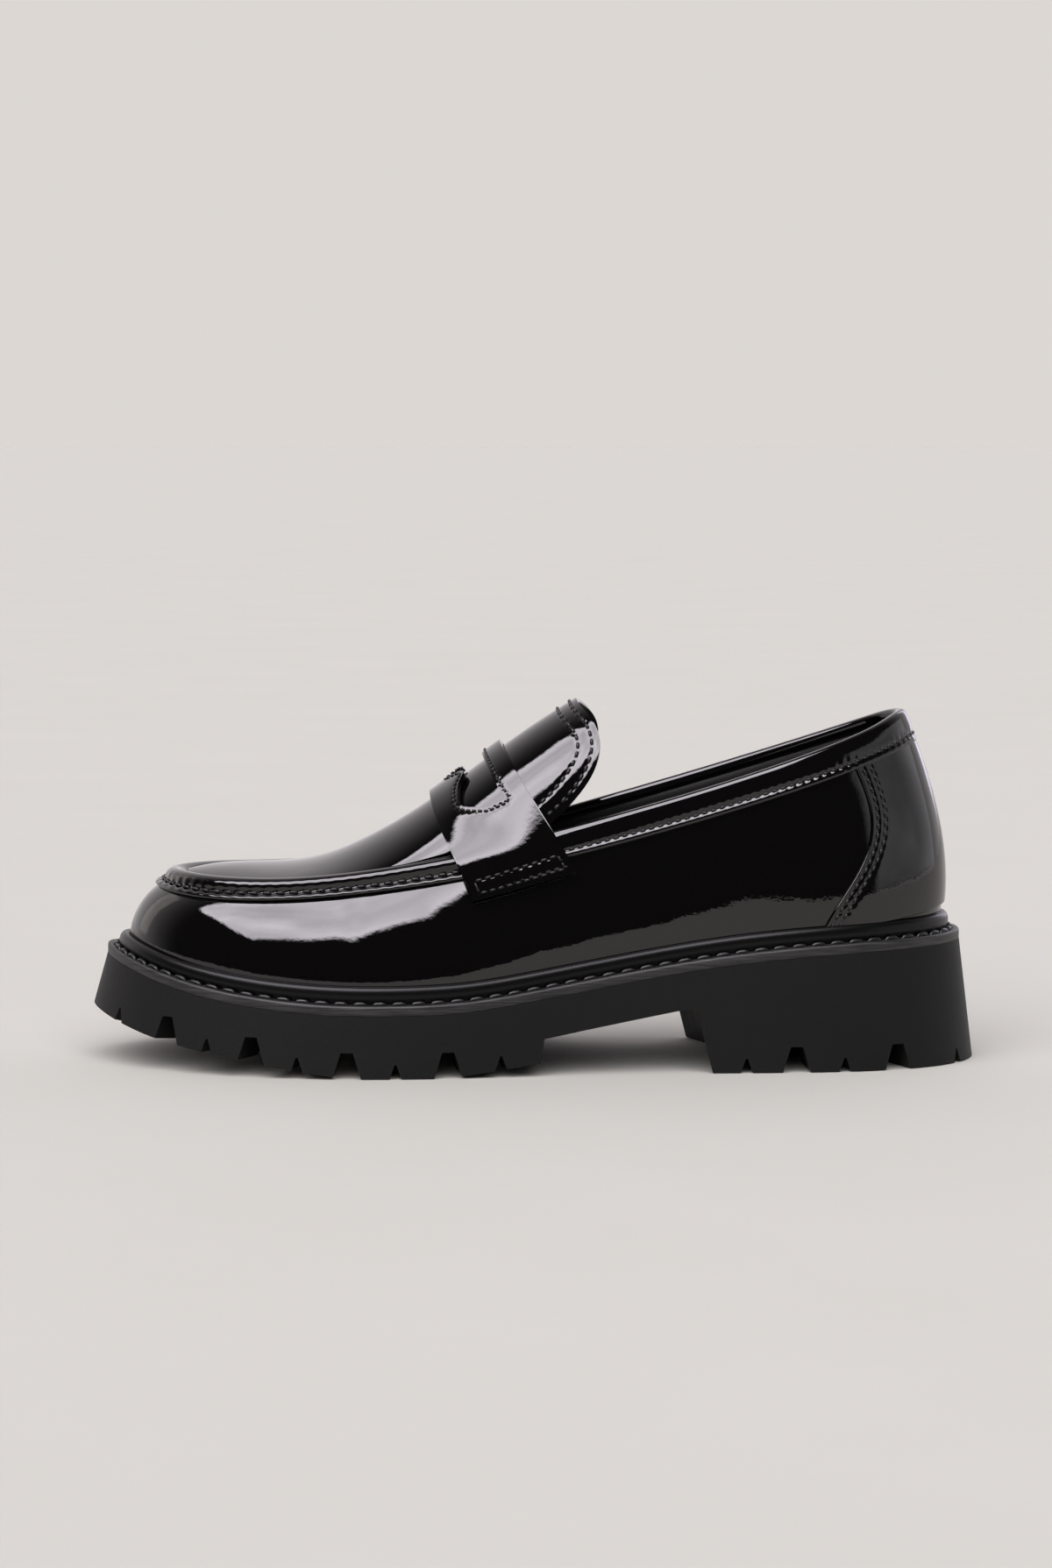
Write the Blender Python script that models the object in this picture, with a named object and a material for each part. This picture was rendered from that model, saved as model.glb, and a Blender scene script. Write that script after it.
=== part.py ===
"""A chunky lug sole penny loafer, the left shoe of a pair, as its maker would put it together.

The shoe stands on the floor with its toe towards -X and its inner side towards +Y. Design sizes are in
millimetres and become metres when a mesh is made. Everything is worked out from the length, the widths and
the heights in the tables below: the welt's outline, the sole's heights, and the wall of the upper as a cubic
section that runs right round the shoe from its feather edge to its rim.
"""

import bpy
import bmesh
import numpy as np

MM = 0.001
GAP = 0.3  # clearance between pieces that touch

# Thicknesses
WALL_THICK = 2.0
APRON_THICK = 1.8
STRAP_THICK = 1.9
COUNTER_THICK = 1.2
COUNTER_FOOT = 0.19  # the share of the way up the wall at which it starts, clear of the rand
MIDSOLE_THICK = 3.2
INSOLE_THICK = 3.5

# How the outlines step in from the welt's edge
WELT_TO_UPPER = 7.0
RAND_OUT = 3.1
RAND_HEIGHT = 5.4
SOLE_FLARE_SIDE = 1.6
SOLE_FLARE_END = 3.0

# Once round the shoe, from the toe by the outer side: the welt's edge, and the rim of the upper above it,
# which is the apron's seam in front and the collar behind
ROUND = (
    # welt x, welt y, rim x, rim y, rim height
    (-137.8, 4.0, -112.9, 2.5, 58.6),
    (-127.5, -21.5, -107.6, -11.3, 58.6),
    (-106.0, -39.0, -95.5, -21.0, 58.6),
    (-76.0, -49.3, -73.5, -26.3, 59.2),
    (-42.0, -50.9, -42.5, -28.0, 63.4),
    (0.0, -45.3, -1.0, -29.8, 72.8),
    (45.0, -39.3, 45.0, -28.6, 85.2),
    (85.0, -37.2, 84.0, -24.9, 97.5),
    (115.0, -30.5, 107.0, -16.3, 106.4),
    (132.0, -17.0, 115.5, -8.2, 111.0),
    (137.8, 1.0, 118.7, 0.5, 112.4),
    (132.0, 18.6, 115.5, 9.2, 111.4),
    (115.0, 31.0, 107.0, 17.3, 107.5),
    (85.0, 36.0, 84.0, 25.6, 98.9),
    (45.0, 33.8, 45.0, 28.0, 86.7),
    (0.0, 38.0, -1.0, 26.5, 73.8),
    (-42.0, 48.5, -42.5, 26.0, 63.6),
    (-76.0, 51.1, -73.5, 28.0, 59.2),
    (-106.0, 43.7, -95.5, 24.8, 58.6),
    (-127.5, 27.5, -107.6, 15.3, 58.6),
)

# Heights along the sole: the top of the welt
WELT_TOP = (
    # x, height
    (-140.0, 37.4),
    (-125.0, 32.6),
    (-110.0, 28.6),
    (-90.0, 25.2),
    (-65.0, 23.0),
    (-40.0, 22.7),
    (-20.0, 23.7),
    (0.0, 26.6),
    (30.0, 31.9),
    (60.0, 36.7),
    (90.0, 39.7),
    (120.0, 41.2),
    (140.0, 41.6),
)

# The tread under the forefoot, which rocks up at the toe; it is cut flat at the floor
TREAD = (
    # x, height
    (-144.0, 17.6),
    (-125.0, 11.4),
    (-105.0, 7.2),
    (-85.0, 3.9),
    (-70.0, 1.6),
    (-57.0, 0.0),
    (-42.0, -0.9),
    (-27.0, 0.0),
    (-12.0, 1.9),
    (3.0, 4.3),
)
FOREFOOT_END = 3.0

# The upper's wall, by the x of the welt. The belly stands out from the feather edge, the shoulder lies a share
# of the way in to the rim, and both are a share of the way up
WALL = (
    # x, belly out, belly up, shoulder in, shoulder up
    (-138.0, 0.8, 0.40, 0.28, 0.90),
    (-118.0, 2.2, 0.32, 0.26, 0.87),
    (-95.0, 3.3, 0.25, 0.25, 0.83),
    (-65.0, 3.8, 0.23, 0.29, 0.80),
    (-30.0, 3.6, 0.22, 0.37, 0.78),
    (5.0, 3.6, 0.21, 0.36, 0.75),
    (40.0, 3.4, 0.12, 0.26, 0.69),
    (80.0, 3.3, 0.10, 0.14, 0.64),
    (112.0, 3.6, 0.12, 0.05, 0.59),
    (138.0, 4.4, 0.26, -0.04, 0.58),
)

# The strip that is rolled into the apron's seam in front and runs on as the collar band
STRIP = (
    # x of the feather edge, width, roll height
    (-131.0, 9.4, 2.7),
    (-95.0, 8.8, 2.8),
    (-60.0, 8.6, 2.6),
    (-30.0, 8.6, 2.3),
    (0.0, 8.8, 1.3),
    (40.0, 9.0, 1.1),
    (131.0, 9.6, 1.1),
)
STRIP_EDGE = 1.2

# The ridge line of the apron and tongue, and how far its sections lean back
APRON_LINE = (
    # x, height, lean
    (-112.6, 60.0, 0.0),
    (-105.0, 61.5, 0.0),
    (-92.0, 62.4, 0.0),
    (-79.0, 62.9, 0.2),
    (-67.0, 65.2, 1.0),
    (-55.0, 70.2, 2.8),
    (-40.0, 78.6, 6.0),
    (-21.0, 92.0, 10.0),
    (0.0, 107.2, 13.5),
    (14.0, 116.0, 16.0),
)
# How the apron's sections fill out, from a low crown at the toe to a full arch at the instep
APRON_FULLNESS = (
    # x, width power, arch power
    (-112.6, 2.0, 1.00),
    (-80.0, 2.0, 1.05),
    (-55.0, 2.0, 1.35),
    (-30.0, 2.1, 1.70),
    (14.0, 2.2, 1.90),
)
APRON_SHARE = 0.977  # how nearly it fills the space inside the rim
TONGUE_TIP = 13.8
TONGUE_CORNER = 22.0  # how far back from the tip its rounded corners reach

# The saddle strap's two edges seen from the side, and where its ends are stitched down
STRAP_EDGES = (
    # height, front x, rear x
    (48.0, -15.6, 22.8),
    (58.0, -20.3, 16.7),
    (68.0, -25.7, 10.6),
    (78.0, -30.2, 4.5),
    (88.0, -32.4, -1.8),
    (104.0, -33.6, -11.6),
)
STRAP_END_FRONT = 53.6
STRAP_END_REAR = 62.9

# The strap's cut-out, by the distance from the middle of the strap round the instep
SLOT = (
    # distance, front edge, rear edge, as shares of the strap's half width
    (0.0, -0.54, 0.40),
    (4.4, -0.20, 0.40),
    (10.5, -0.33, 0.41),
    (17.0, -0.44, 0.42),
    (23.0, -0.34, 0.44),
    (26.5, 0.04, 0.46),
)

# The heel counter's front edge
COUNTER_EDGE = (
    # height, x
    (40.0, 89.5),
    (50.0, 95.0),
    (60.0, 101.5),
    (70.0, 106.2),
    (80.0, 107.0),
    (90.0, 104.2),
    (100.0, 99.5),
)

# Lug grooves by the x where they cross the sole's edge
WIDE_GROOVES = (-116.5, -89.0, -58.4, -26.6, 83.0, 114.8)
NARROW_GROOVES = (-134.0, -104.0, -74.3, -43.0, -10.2, 67.2, 98.2, 135.6)
WIDE_GROOVE = (3.9, 1.9, 8.0)  # half width at the floor, half width at the root, depth
NARROW_GROOVE = (1.8, 0.3, 4.4)
LUG_LENGTH = 17.0  # how far the edge lugs reach in
TREAD_RECESS = 6.5
CROSS_LUGS = (-104.0, -74.3, -43.0, -10.5, 78.0, 108.0)
CROSS_ARM = 11.0
CROSS_HALF_WIDTH = 4.2

# The shank's underside and the heel's curved breast
SHANK_FRONT = 11.6
SHANK_RISE = 0.188
BREAST_OUTER = 51.5
BREAST_MIDDLE = 57.0
BREAST_INNER = 46.8
BREAST_DRAFT = 4.6
SOLE_HALF = 46.0

RING = 88  # stations round the shoe
TOE = 0
HEEL = RING // 2

COLOURS = {
    # name: colour, roughness
    "patent_leather": ((0.006, 0.006, 0.007), 0.06),
    "rubber": ((0.018, 0.018, 0.018), 0.62),
    "welt_rubber": ((0.035, 0.035, 0.036), 0.55),
    "rand_rubber": ((0.012, 0.012, 0.012), 0.38),
    "lining_leather": ((0.012, 0.012, 0.013), 0.5),
}


def spline(rows, column, closed=False):
    """A cubic spline through one column of a table, as a function of its first column."""
    knots = np.array([row[0] for row in rows], float)
    values = np.array([row[column] for row in rows], float)
    return cubic(knots, values, closed)


def cubic(knots, values, closed=False):
    """A twice smooth cubic through the values. A closed one repeats its first value at its last knot."""
    count = len(knots)
    step = np.diff(knots)
    slope = np.diff(values) / step
    system = np.zeros((count, count))
    right = np.zeros(count)
    for i in range(1, count - 1):
        system[i, i - 1 : i + 2] = step[i - 1], 2 * (step[i - 1] + step[i]), step[i]
        right[i] = 6 * (slope[i] - slope[i - 1])
    if closed:
        system[0, [0, -1]] = 1, -1
        system[-1, [0, 1, -2, -1]] = 2 * step[0], step[0], step[-1], 2 * step[-1]
        right[-1] = 6 * (slope[0] - slope[-1])
    else:
        system[0, 0] = system[-1, -1] = 1
    bend = np.linalg.solve(system, right)

    def at(where):
        where = np.clip(np.asarray(where, float), knots[0], knots[-1])
        i = np.clip(np.searchsorted(knots, where, side="right") - 1, 0, count - 2)
        after = where - knots[i]
        before = knots[i + 1] - where
        return (
            (bend[i] * before**3 + bend[i + 1] * after**3) / (6 * step[i])
            + (values[i] / step[i] - bend[i] * step[i] / 6) * before
            + (values[i + 1] / step[i] - bend[i + 1] * step[i] / 6) * after
        )

    return at


def round_curves():
    """The welt's edge and the rim, as functions of the share of the way round from the toe by the outer side."""
    points = np.array(ROUND + ROUND[:1], float)
    along = np.concatenate([[0], np.cumsum(np.hypot(*np.diff(points[:, :2], axis=0).T))])
    curves = [cubic(along, points[:, column], closed=True) for column in range(5)]
    fine = np.linspace(0, along[-1], 2001)
    length = np.concatenate([[0], np.cumsum(np.hypot(np.diff(curves[0](fine)), np.diff(curves[1](fine))))])
    to_share = np.interp(np.linspace(0, length[-1], 2001), length, fine)

    def place(share):
        return np.interp(np.asarray(share) % 1.0 * 2000, np.arange(2001), to_share)

    def welt(share):
        return np.stack([curve(place(share)) for curve in curves[:2]], axis=-1)

    def rim(share):
        return np.stack([curve(place(share)) for curve in curves[2:]], axis=-1)

    return welt, rim


OUTLINE, RIM = round_curves()
welt_top = spline(WELT_TOP, 1)
tread_curve = spline(TREAD, 1)
apron_height = spline(APRON_LINE, 1)
apron_lean = spline(APRON_LINE, 2)
width_power = spline(APRON_FULLNESS, 1)
arch_power = spline(APRON_FULLNESS, 2)
strap_front = spline(STRAP_EDGES, 1)
strap_rear = spline(STRAP_EDGES, 2)
slot_front = spline(SLOT, 1)
slot_rear = spline(SLOT, 2)
counter_edge = spline(COUNTER_EDGE, 1)
strip_width = spline(STRIP, 1)
strip_roll = spline(STRIP, 2)
wall_columns = [spline(WALL, column) for column in range(1, 5)]


def tread(x):
    """Height of the tread: the forefoot's rocker, level with the floor under the ball and the heel."""
    return np.where(x > FOREFOOT_END + 10, 0.0, np.maximum(0.0, tread_curve(x)))


def ring_shares(count):
    """Shares of the way round, evenly spaced from the toe on each side of the shoe."""
    heel = heel_share()
    half = count // 2
    outer = np.linspace(0, heel, half + 1)
    inner = np.linspace(heel, 1, half + 1)[1:-1]
    return np.concatenate([outer, inner])


def heel_share():
    """The share of the way round at which the outline is furthest back."""
    fine = np.linspace(0.4, 0.6, 2001)
    return fine[np.argmax(OUTLINE(fine)[:, 0])]


def stepped_outline(shares, inset):
    """Points on the outline moved in from the welt's edge, and the outward normals there."""
    nudge = 1e-4
    tangent = OUTLINE(shares + nudge) - OUTLINE(shares - nudge)
    tangent /= np.linalg.norm(tangent, axis=1, keepdims=True)
    normal = np.stack([tangent[:, 1], -tangent[:, 0]], axis=1)
    if np.sum(normal * OUTLINE(shares)) < 0:
        normal = -normal
    return OUTLINE(shares) - normal * np.reshape(inset, (-1, 1)), normal


def wall(shares, heights):
    """The upper's outer face: a grid of points, a row for each share and a column for each height share."""
    feather, normal = stepped_outline(shares, WELT_TO_UPPER)
    rim = RIM(shares)
    belly_out, belly_up, shoulder_in, shoulder_up = (f(OUTLINE(shares)[:, 0]) for f in wall_columns)
    start = np.column_stack([feather, welt_top(feather[:, 0]) + GAP])
    rise = rim[:, 2] - start[:, 2]
    belly = np.column_stack([feather + normal * belly_out[:, None], start[:, 2] + rise * belly_up])
    shoulder = start + (rim - start) * shoulder_in[:, None]
    shoulder[:, 2] = start[:, 2] + rise * shoulder_up
    t = np.asarray(heights, float)[None, :, None]
    corners = [corner[:, None, :] for corner in (start, belly, shoulder, rim)]
    weights = ((1 - t) ** 3, 3 * (1 - t) ** 2 * t, 3 * (1 - t) * t**2, t**3)
    return sum(weight * corner for weight, corner in zip(weights, corners))


def normals_of(grid):
    """Unit normals of a grid of points."""
    normal = np.cross(np.gradient(grid, axis=0), np.gradient(grid, axis=1))
    return normal / np.maximum(np.linalg.norm(normal, axis=-1, keepdims=True), 1e-9)


def wall_faces(shares, heights):
    """The wall's outer face and its outward normals, worked out on a fine grid."""
    grid = wall(shares, heights)
    nudge = 1e-4
    along = wall(shares + nudge, heights) - wall(shares - nudge, heights)
    across = wall(shares, np.asarray(heights) + nudge) - wall(shares, np.asarray(heights) - nudge)
    normal = np.cross(across, along)
    normal /= np.linalg.norm(normal, axis=-1, keepdims=True)
    outward = np.sum(normal[:, 0, :2] * (grid[:, 0, :2] - grid[:, 0, :2].mean(axis=0)))
    return grid, normal if outward > 0 else -normal


def lip_heights(shares):
    """The height share of the strip's lower edge at each station, its width below the rim."""
    fine = np.linspace(0.3, 1.0, 141)
    grid = wall(shares, fine)
    steps = np.linalg.norm(np.diff(grid, axis=1), axis=2)
    from_rim = np.concatenate([np.cumsum(steps[:, ::-1], axis=1)[:, ::-1], np.zeros((len(shares), 1))], axis=1)
    width = strip_width(stepped_outline(shares, WELT_TO_UPPER)[0][:, 0])
    return np.array([np.interp(-w, -row, fine) for w, row in zip(width, from_rim)])


def rolled(share, roll):
    """Height of the strip above the wall at a share of its width, from the lip up to the rim."""
    swell = np.sin(np.pi * np.clip((share - 0.28) / 0.72, 0, 1)) ** 0.8
    return STRIP_EDGE + (roll - STRIP_EDGE) * swell


def rim_points(x):
    """The rim on the outer and the inner side at an x, as two arrays of points."""
    found = []
    for first in (0.0, 1.0):
        rim = RIM(np.linspace(first, heel_share(), 400))
        found.append(np.stack([np.interp(x, rim[:, 0], rim[:, k]) for k in range(3)], axis=-1))
    return found


def apron(x, share):
    """The outer face of the apron and tongue at an x on their ridge line and a share across, from -1 to 1."""
    x = np.asarray(x, float)
    share = np.asarray(share, float)
    outer, inner = rim_points(x + apron_lean(x))
    middle = (outer + inner) / 2
    ridge = np.stack([x, middle[..., 1], apron_height(x)], axis=-1)
    lift = np.maximum(1 - np.abs(share) ** width_power(x), 0) ** (1 / arch_power(x))
    return middle + (inner - outer) / 2 * share[..., None] + (ridge - middle) * lift[..., None]


def tongue_end(share):
    """How far forward of the tongue's tip its edge lies at a share across: straight, with round corners."""
    return TONGUE_CORNER * np.minimum(np.abs(share), 1.0) ** 16


def apron_grid(stations, columns):
    """The apron and tongue as a grid, from the toe to the tongue's rounded end."""
    across = np.sin(np.linspace(-1, 1, columns) * np.pi / 2)
    start = APRON_LINE[0][0] + 1.2
    end = TONGUE_TIP - tongue_end(across)
    along = (1 - np.cos(np.linspace(0, 1, stations) * np.pi / 2)) * 0.5 + np.linspace(0, 1, stations) * 0.5
    x = start + (end[None, :] - start) * along[:, None]
    return apron(x, across[None, :] * APRON_SHARE)


def offset(grid, normal, distance):
    """A grid moved along its normals."""
    return grid + normal * distance


def new_object(name, mesh, finish):
    """An object in the scene with the mesh and its material."""
    item = bpy.data.objects.new(name, mesh)
    item.data.materials.append(finish)
    bpy.context.scene.collection.objects.link(item)
    return item


def material(name):
    """A Principled material of the named colour and roughness."""
    colour, roughness = COLOURS[name]
    made = bpy.data.materials.new(name)
    made.use_nodes = True
    shader = made.node_tree.nodes["Principled BSDF"]
    shader.inputs["Base Color"].default_value = (*colour, 1.0)
    shader.inputs["Roughness"].default_value = roughness
    shader.inputs["Metallic"].default_value = 0.0
    return made


def mesh_from(name, points, faces, smooth=True):
    """A mesh in metres from points in millimetres, with its faces turned outwards."""
    mesh = bpy.data.meshes.new(name)
    mesh.from_pydata([tuple(p) for p in np.asarray(points) * MM], [], faces)
    shape = bmesh.new()
    shape.from_mesh(mesh)
    bmesh.ops.remove_doubles(shape, verts=shape.verts, dist=1e-6)
    bmesh.ops.recalc_face_normals(shape, faces=shape.faces)
    bmesh.ops.triangulate(shape, faces=[f for f in shape.faces if len(f.verts) > 4])
    shape.to_mesh(mesh)
    shape.free()
    if smooth:
        mesh.shade_smooth()
        mesh.set_sharp_from_angle(angle=np.radians(35))
    return mesh


def swept_ring(name, sections, finish):
    """A closed section swept right round the shoe: sections[station][corner] is a point."""
    stations, corners = sections.shape[:2]
    faces = []
    for i in range(stations):
        for k in range(corners):
            following, beside = (i + 1) % stations, (k + 1) % corners
            faces.append((i * corners + k, following * corners + k, following * corners + beside, i * corners + beside))
    return new_object(name, mesh_from(name, sections.reshape(-1, 3), faces), finish)


def slab_faces(rows, columns):
    """The faces of a slab made of an upper grid and a lower grid of the same size."""
    under = rows * columns
    faces = []
    for i in range(rows - 1):
        for k in range(columns - 1):
            corner = (i * columns + k, i * columns + k + 1, (i + 1) * columns + k + 1, (i + 1) * columns + k)
            faces.append(corner)
            faces.append(tuple(under + v for v in corner))
    rim = [k for k in range(columns)]
    rim += [i * columns + columns - 1 for i in range(1, rows)]
    rim += [(rows - 1) * columns + k for k in range(columns - 2, -1, -1)]
    rim += [i * columns for i in range(rows - 2, 0, -1)]
    for here, following in zip(rim, rim[1:] + rim[:1]):
        faces.append((here, following, under + following, under + here))
    return faces


def slab(name, above, below, finish):
    """A curved sheet between two grids of points."""
    rows, columns = above.shape[:2]
    points = np.concatenate([above.reshape(-1, 3), below.reshape(-1, 3)])
    return new_object(name, mesh_from(name, points, slab_faces(rows, columns)), finish)


def plate_points(shares, inset, height):
    """A ring of points on a stepped outline, at the height that a function gives for their x."""
    flat, _ = stepped_outline(shares, inset)
    return np.column_stack([flat, height(flat[:, 0])])


def plate_faces(count, levels):
    """The faces of a plate made of rings, one above the other, closed by strips straight across."""
    faces = []
    for level in range(levels - 1):
        for i in range(count):
            following = (i + 1) % count
            base = level * count
            faces.append((base + i, base + following, base + count + following, base + count + i))
    half = count // 2
    for base in (0, (levels - 1) * count):
        for i in range(half):
            ring = [base + i, base + i + 1, base + (count - i - 1) % count, base + (count - i) % count]
            faces.append(tuple(dict.fromkeys(ring)))
    return faces


def plate(name, rings, finish):
    """A plate from rings of points listed from its underside up."""
    points = np.concatenate(rings)
    return new_object(name, mesh_from(name, points, plate_faces(len(rings[0]), len(rings))), finish)


def cutter(name, points, faces):
    """A helper solid that cuts another and isn't part of the shoe."""
    item = bpy.data.objects.new(name, mesh_from(name, points, faces, smooth=False))
    bpy.context.scene.collection.objects.link(item)
    item.hide_render = True
    item.display_type = "WIRE"
    return item


def boolean(item, tool, operation):
    """A Boolean that stays on the object as a modifier."""
    step = item.modifiers.new(tool.name, "BOOLEAN")
    step.operation = operation
    step.object = tool
    step.solver = "EXACT"


def prism(name, profiles):
    """A cutter through a row of profiles that have the same number of corners."""
    profiles = np.asarray(profiles, float)
    rows, corners = profiles.shape[:2]
    faces = [tuple(range(corners)), tuple(range((rows - 1) * corners, rows * corners))]
    for i in range(rows - 1):
        for k in range(corners):
            beside = (k + 1) % corners
            faces.append((i * corners + k, i * corners + beside, (i + 1) * corners + beside, (i + 1) * corners + k))
    return cutter(name, profiles.reshape(-1, 3), faces)


def groove_share(x, side):
    """The share of the way round at which a side of the outline crosses an x."""
    shares = np.linspace(0, heel_share(), 800) if side < 0 else np.linspace(1, heel_share(), 800)
    return np.interp(x, OUTLINE(shares)[:, 0], shares)


def groove(name, x, side, half_floor, half_root, depth):
    """A tapered groove cut square to the sole's edge."""
    edge, normal = stepped_outline(np.array([groove_share(x, side)]), 0.0)
    edge, normal = edge[0], normal[0]
    beside = np.array([-normal[1], normal[0]])
    profiles = []
    for along in (14.0, 4.0, -LUG_LENGTH - 1.5):
        middle = edge + normal * along
        floor = float(tread(middle[0]))
        profile = [
            (-half_floor * 1.4, floor - depth * 0.4),
            (half_floor * 1.4, floor - depth * 0.4),
            (half_root, floor + depth),
            (-half_root, floor + depth),
        ]
        profiles.append([(*(middle + beside * across), height) for across, height in profile])
    return prism(name, profiles)


def shank_cutter():
    """The space under the arch, closed at the back by the heel's curved and slightly drafted breast."""
    profiles = []
    for share in np.linspace(-1.35, 1.35, 13):
        side = BREAST_OUTER if share < 0 else BREAST_INNER
        breast = BREAST_MIDDLE + (side - BREAST_MIDDLE) * share * share
        ceiling = SHANK_FRONT + SHANK_RISE * (breast - FOREFOOT_END)
        y = share * SOLE_HALF
        profiles.append(
            [
                (FOREFOOT_END - 2.0, y, -3.0),
                (FOREFOOT_END + 0.6, y, SHANK_FRONT),
                (breast - 2.0, y, ceiling - 0.4),
                (breast, y, ceiling - 2.4),
                (breast, y, ceiling - 7.0),
                (breast + BREAST_DRAFT, y, -3.0),
            ]
        )
    return prism("shank_space", profiles)


def recess_cutter(name, first, last):
    """The sunken middle of the tread between the edge lugs, from one x to another."""
    stations = np.linspace(first, last, 13)
    outer = [groove_share(x, -1) for x in stations]
    inner = [groove_share(x, 1) for x in stations]
    profiles = []
    for x, a, b in zip(stations, outer, inner):
        near = OUTLINE(np.array([a]))[0][1] + LUG_LENGTH
        far = OUTLINE(np.array([b]))[0][1] - LUG_LENGTH
        root = float(tread(np.array(x))) + TREAD_RECESS
        profiles.append([(x, near, -3.0), (x, far, -3.0), (x, far - 1.0, root), (x, near + 1.0, root)])
    return prism(name, profiles)


def cross_lug(name, x, y):
    """A cross-shaped lug in the sunken middle of the tread, a little drafted."""
    arm, half = CROSS_ARM, CROSS_HALF_WIDTH
    corners = [(half, half), (half, arm), (-half, arm), (-half, half), (-arm, half), (-arm, -half)]
    corners += [(-half, -half), (-half, -arm), (half, -arm), (half, -half), (arm, -half), (arm, half)]
    rings = []
    for grow, lift in ((1.0, 0.0), (1.14, TREAD_RECESS + 1.5)):
        ring = []
        for dx, dy in corners:
            where = x + dx * grow
            ring.append((where, y + dy * grow, float(tread(np.array(x + dx))) + lift))
        rings.append(ring)
    count = len(corners)
    faces = [(i, (i + 1) % count, count + (i + 1) % count, count + i) for i in range(count)]
    arms = [(0, 1, 2, 3), (3, 4, 5, 6), (6, 7, 8, 9), (9, 10, 11, 0), (0, 3, 6, 9)]
    faces += arms + [tuple(count + v for v in face) for face in arms]
    return cutter(name, np.array(rings).reshape(-1, 3), faces)


def sole_flare(shares):
    """How far the sole's wall leans out at its foot: more at the toe and heel than at the sides."""
    _, normal = stepped_outline(shares, 0.0)
    return SOLE_FLARE_SIDE + SOLE_FLARE_END * np.abs(normal[:, 0]) ** 2


def make_outsole(shares, finish):
    """The moulded rubber unit: wall, toe spring, arch and heel, with lugs cut in from its edge."""
    flare = sole_flare(shares)
    foot = plate_points(shares, -flare, tread)
    top = plate_points(shares, 0.0, lambda x: welt_top(x) - MIDSOLE_THICK - GAP)
    outsole = plate("outsole", [foot, top], finish)
    boolean(outsole, shank_cutter(), "DIFFERENCE")
    boolean(outsole, recess_cutter("forefoot_recess", -119.0, -6.0), "DIFFERENCE")
    boolean(outsole, recess_cutter("heel_recess", 68.0, 120.0), "DIFFERENCE")
    for kind, places, sizes in (("wide", WIDE_GROOVES, WIDE_GROOVE), ("narrow", NARROW_GROOVES, NARROW_GROOVE)):
        for i, x in enumerate(places):
            for side in (-1, 1):
                tool = groove(f"{kind}_groove_{i}_{'outer' if side < 0 else 'inner'}", x, side, *sizes)
                boolean(outsole, tool, "DIFFERENCE")
    for i, x in enumerate(CROSS_LUGS):
        middle = (OUTLINE(groove_share(x, -1))[1] + OUTLINE(groove_share(x, 1))[1]) / 2
        boolean(outsole, cross_lug(f"cross_lug_{i}", x, float(middle)), "UNION")
    return outsole


def make_midsole(shares, finish):
    """The welt layer, flush with the sole's wall, that the rand and the upper stand on."""
    foot = plate_points(shares, 0.0, lambda x: welt_top(x) - MIDSOLE_THICK)
    shoulder = plate_points(shares, 0.0, lambda x: welt_top(x) - 0.7)
    top = plate_points(shares, 0.7, welt_top)
    return plate("midsole", [foot, shoulder, top], finish)


def make_insole(shares, finish):
    """The sock board inside the upper."""
    inset = WELT_TO_UPPER + WALL_THICK + 0.8
    foot = plate_points(shares, inset, lambda x: welt_top(x) + GAP)
    top = plate_points(shares, inset, lambda x: welt_top(x) + GAP + INSOLE_THICK)
    return plate("insole", [foot, top], finish)


def make_rand(shares, finish):
    """The storm bead round the foot of the upper."""
    sizes = ((RAND_OUT - 0.1, 0.0), (RAND_OUT + 0.2, 1.8), (RAND_OUT, 4.0), (RAND_OUT - 0.9, RAND_HEIGHT))
    feather, normal = stepped_outline(shares, WELT_TO_UPPER)
    foot = welt_top(feather[:, 0]) + GAP
    corners = []
    for out, up in sizes:
        xy = feather + normal * out
        corners.append(np.column_stack([xy, np.where(up > 0, foot, welt_top(xy[:, 0]) + GAP) + up]))
    fine = np.linspace(0, 0.5, 101)
    section = wall(shares, fine)
    for up in (RAND_HEIGHT, 0.0):
        corner = np.empty((len(shares), 3))
        for i in range(len(shares)):
            t = np.interp(foot[i] + up, section[i, :, 2], fine)
            surface = wall(shares[i : i + 1], [t])[0, 0]
            corner[i, :2] = surface[:2] + normal[i] * (GAP + 0.15)
            corner[i, 2] = foot[i] + up if up else welt_top(corner[i, 0]) + GAP
        corners.append(corner)
    return swept_ring("rand", np.stack(corners, axis=1), finish)


def make_upper(shares, finish):
    """Vamp and quarters: one hollow wall right round, open above and underneath."""
    heights = np.array([0.0, 0.1, 0.22, 0.36, 0.5, 0.64, 0.78, 0.9, 1.0])
    outer, normal = wall_faces(shares, heights)
    inner = offset(outer, normal, -WALL_THICK)
    inner[:, 0, :2] = outer[:, 0, :2] - stepped_outline(shares, 0.0)[1] * WALL_THICK
    inner[:, 0, 2] = welt_top(inner[:, 0, 0]) + GAP
    section = np.concatenate([outer, inner[:, [8, 6, 4, 2, 0]]], axis=1)
    return swept_ring("upper", section, finish)


def make_strip(shares, finish):
    """The rolled apron seam that runs on round the collar as its band."""
    lip = lip_heights(shares)
    roll = strip_roll(stepped_outline(shares, WELT_TO_UPPER)[0][:, 0])
    above, below = [], []
    for i, share in enumerate(shares):
        widths = np.array([0.0, 0.28, 0.44, 0.64, 0.86, 1.0])
        grid, normal = wall_faces_at(share, lip[i] + (1 - lip[i]) * widths)
        above.append(grid + normal * (GAP + rolled(widths, roll[i]))[:, None])
        widths = np.array([0.0, 0.5, 1.0])
        grid, normal = wall_faces_at(share, lip[i] + (1 - lip[i]) * widths)
        below.append(grid + normal * GAP)
    section = np.concatenate([np.array(above), np.array(below)[:, ::-1]], axis=1)
    return swept_ring("collar_strip", section, finish)


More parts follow.
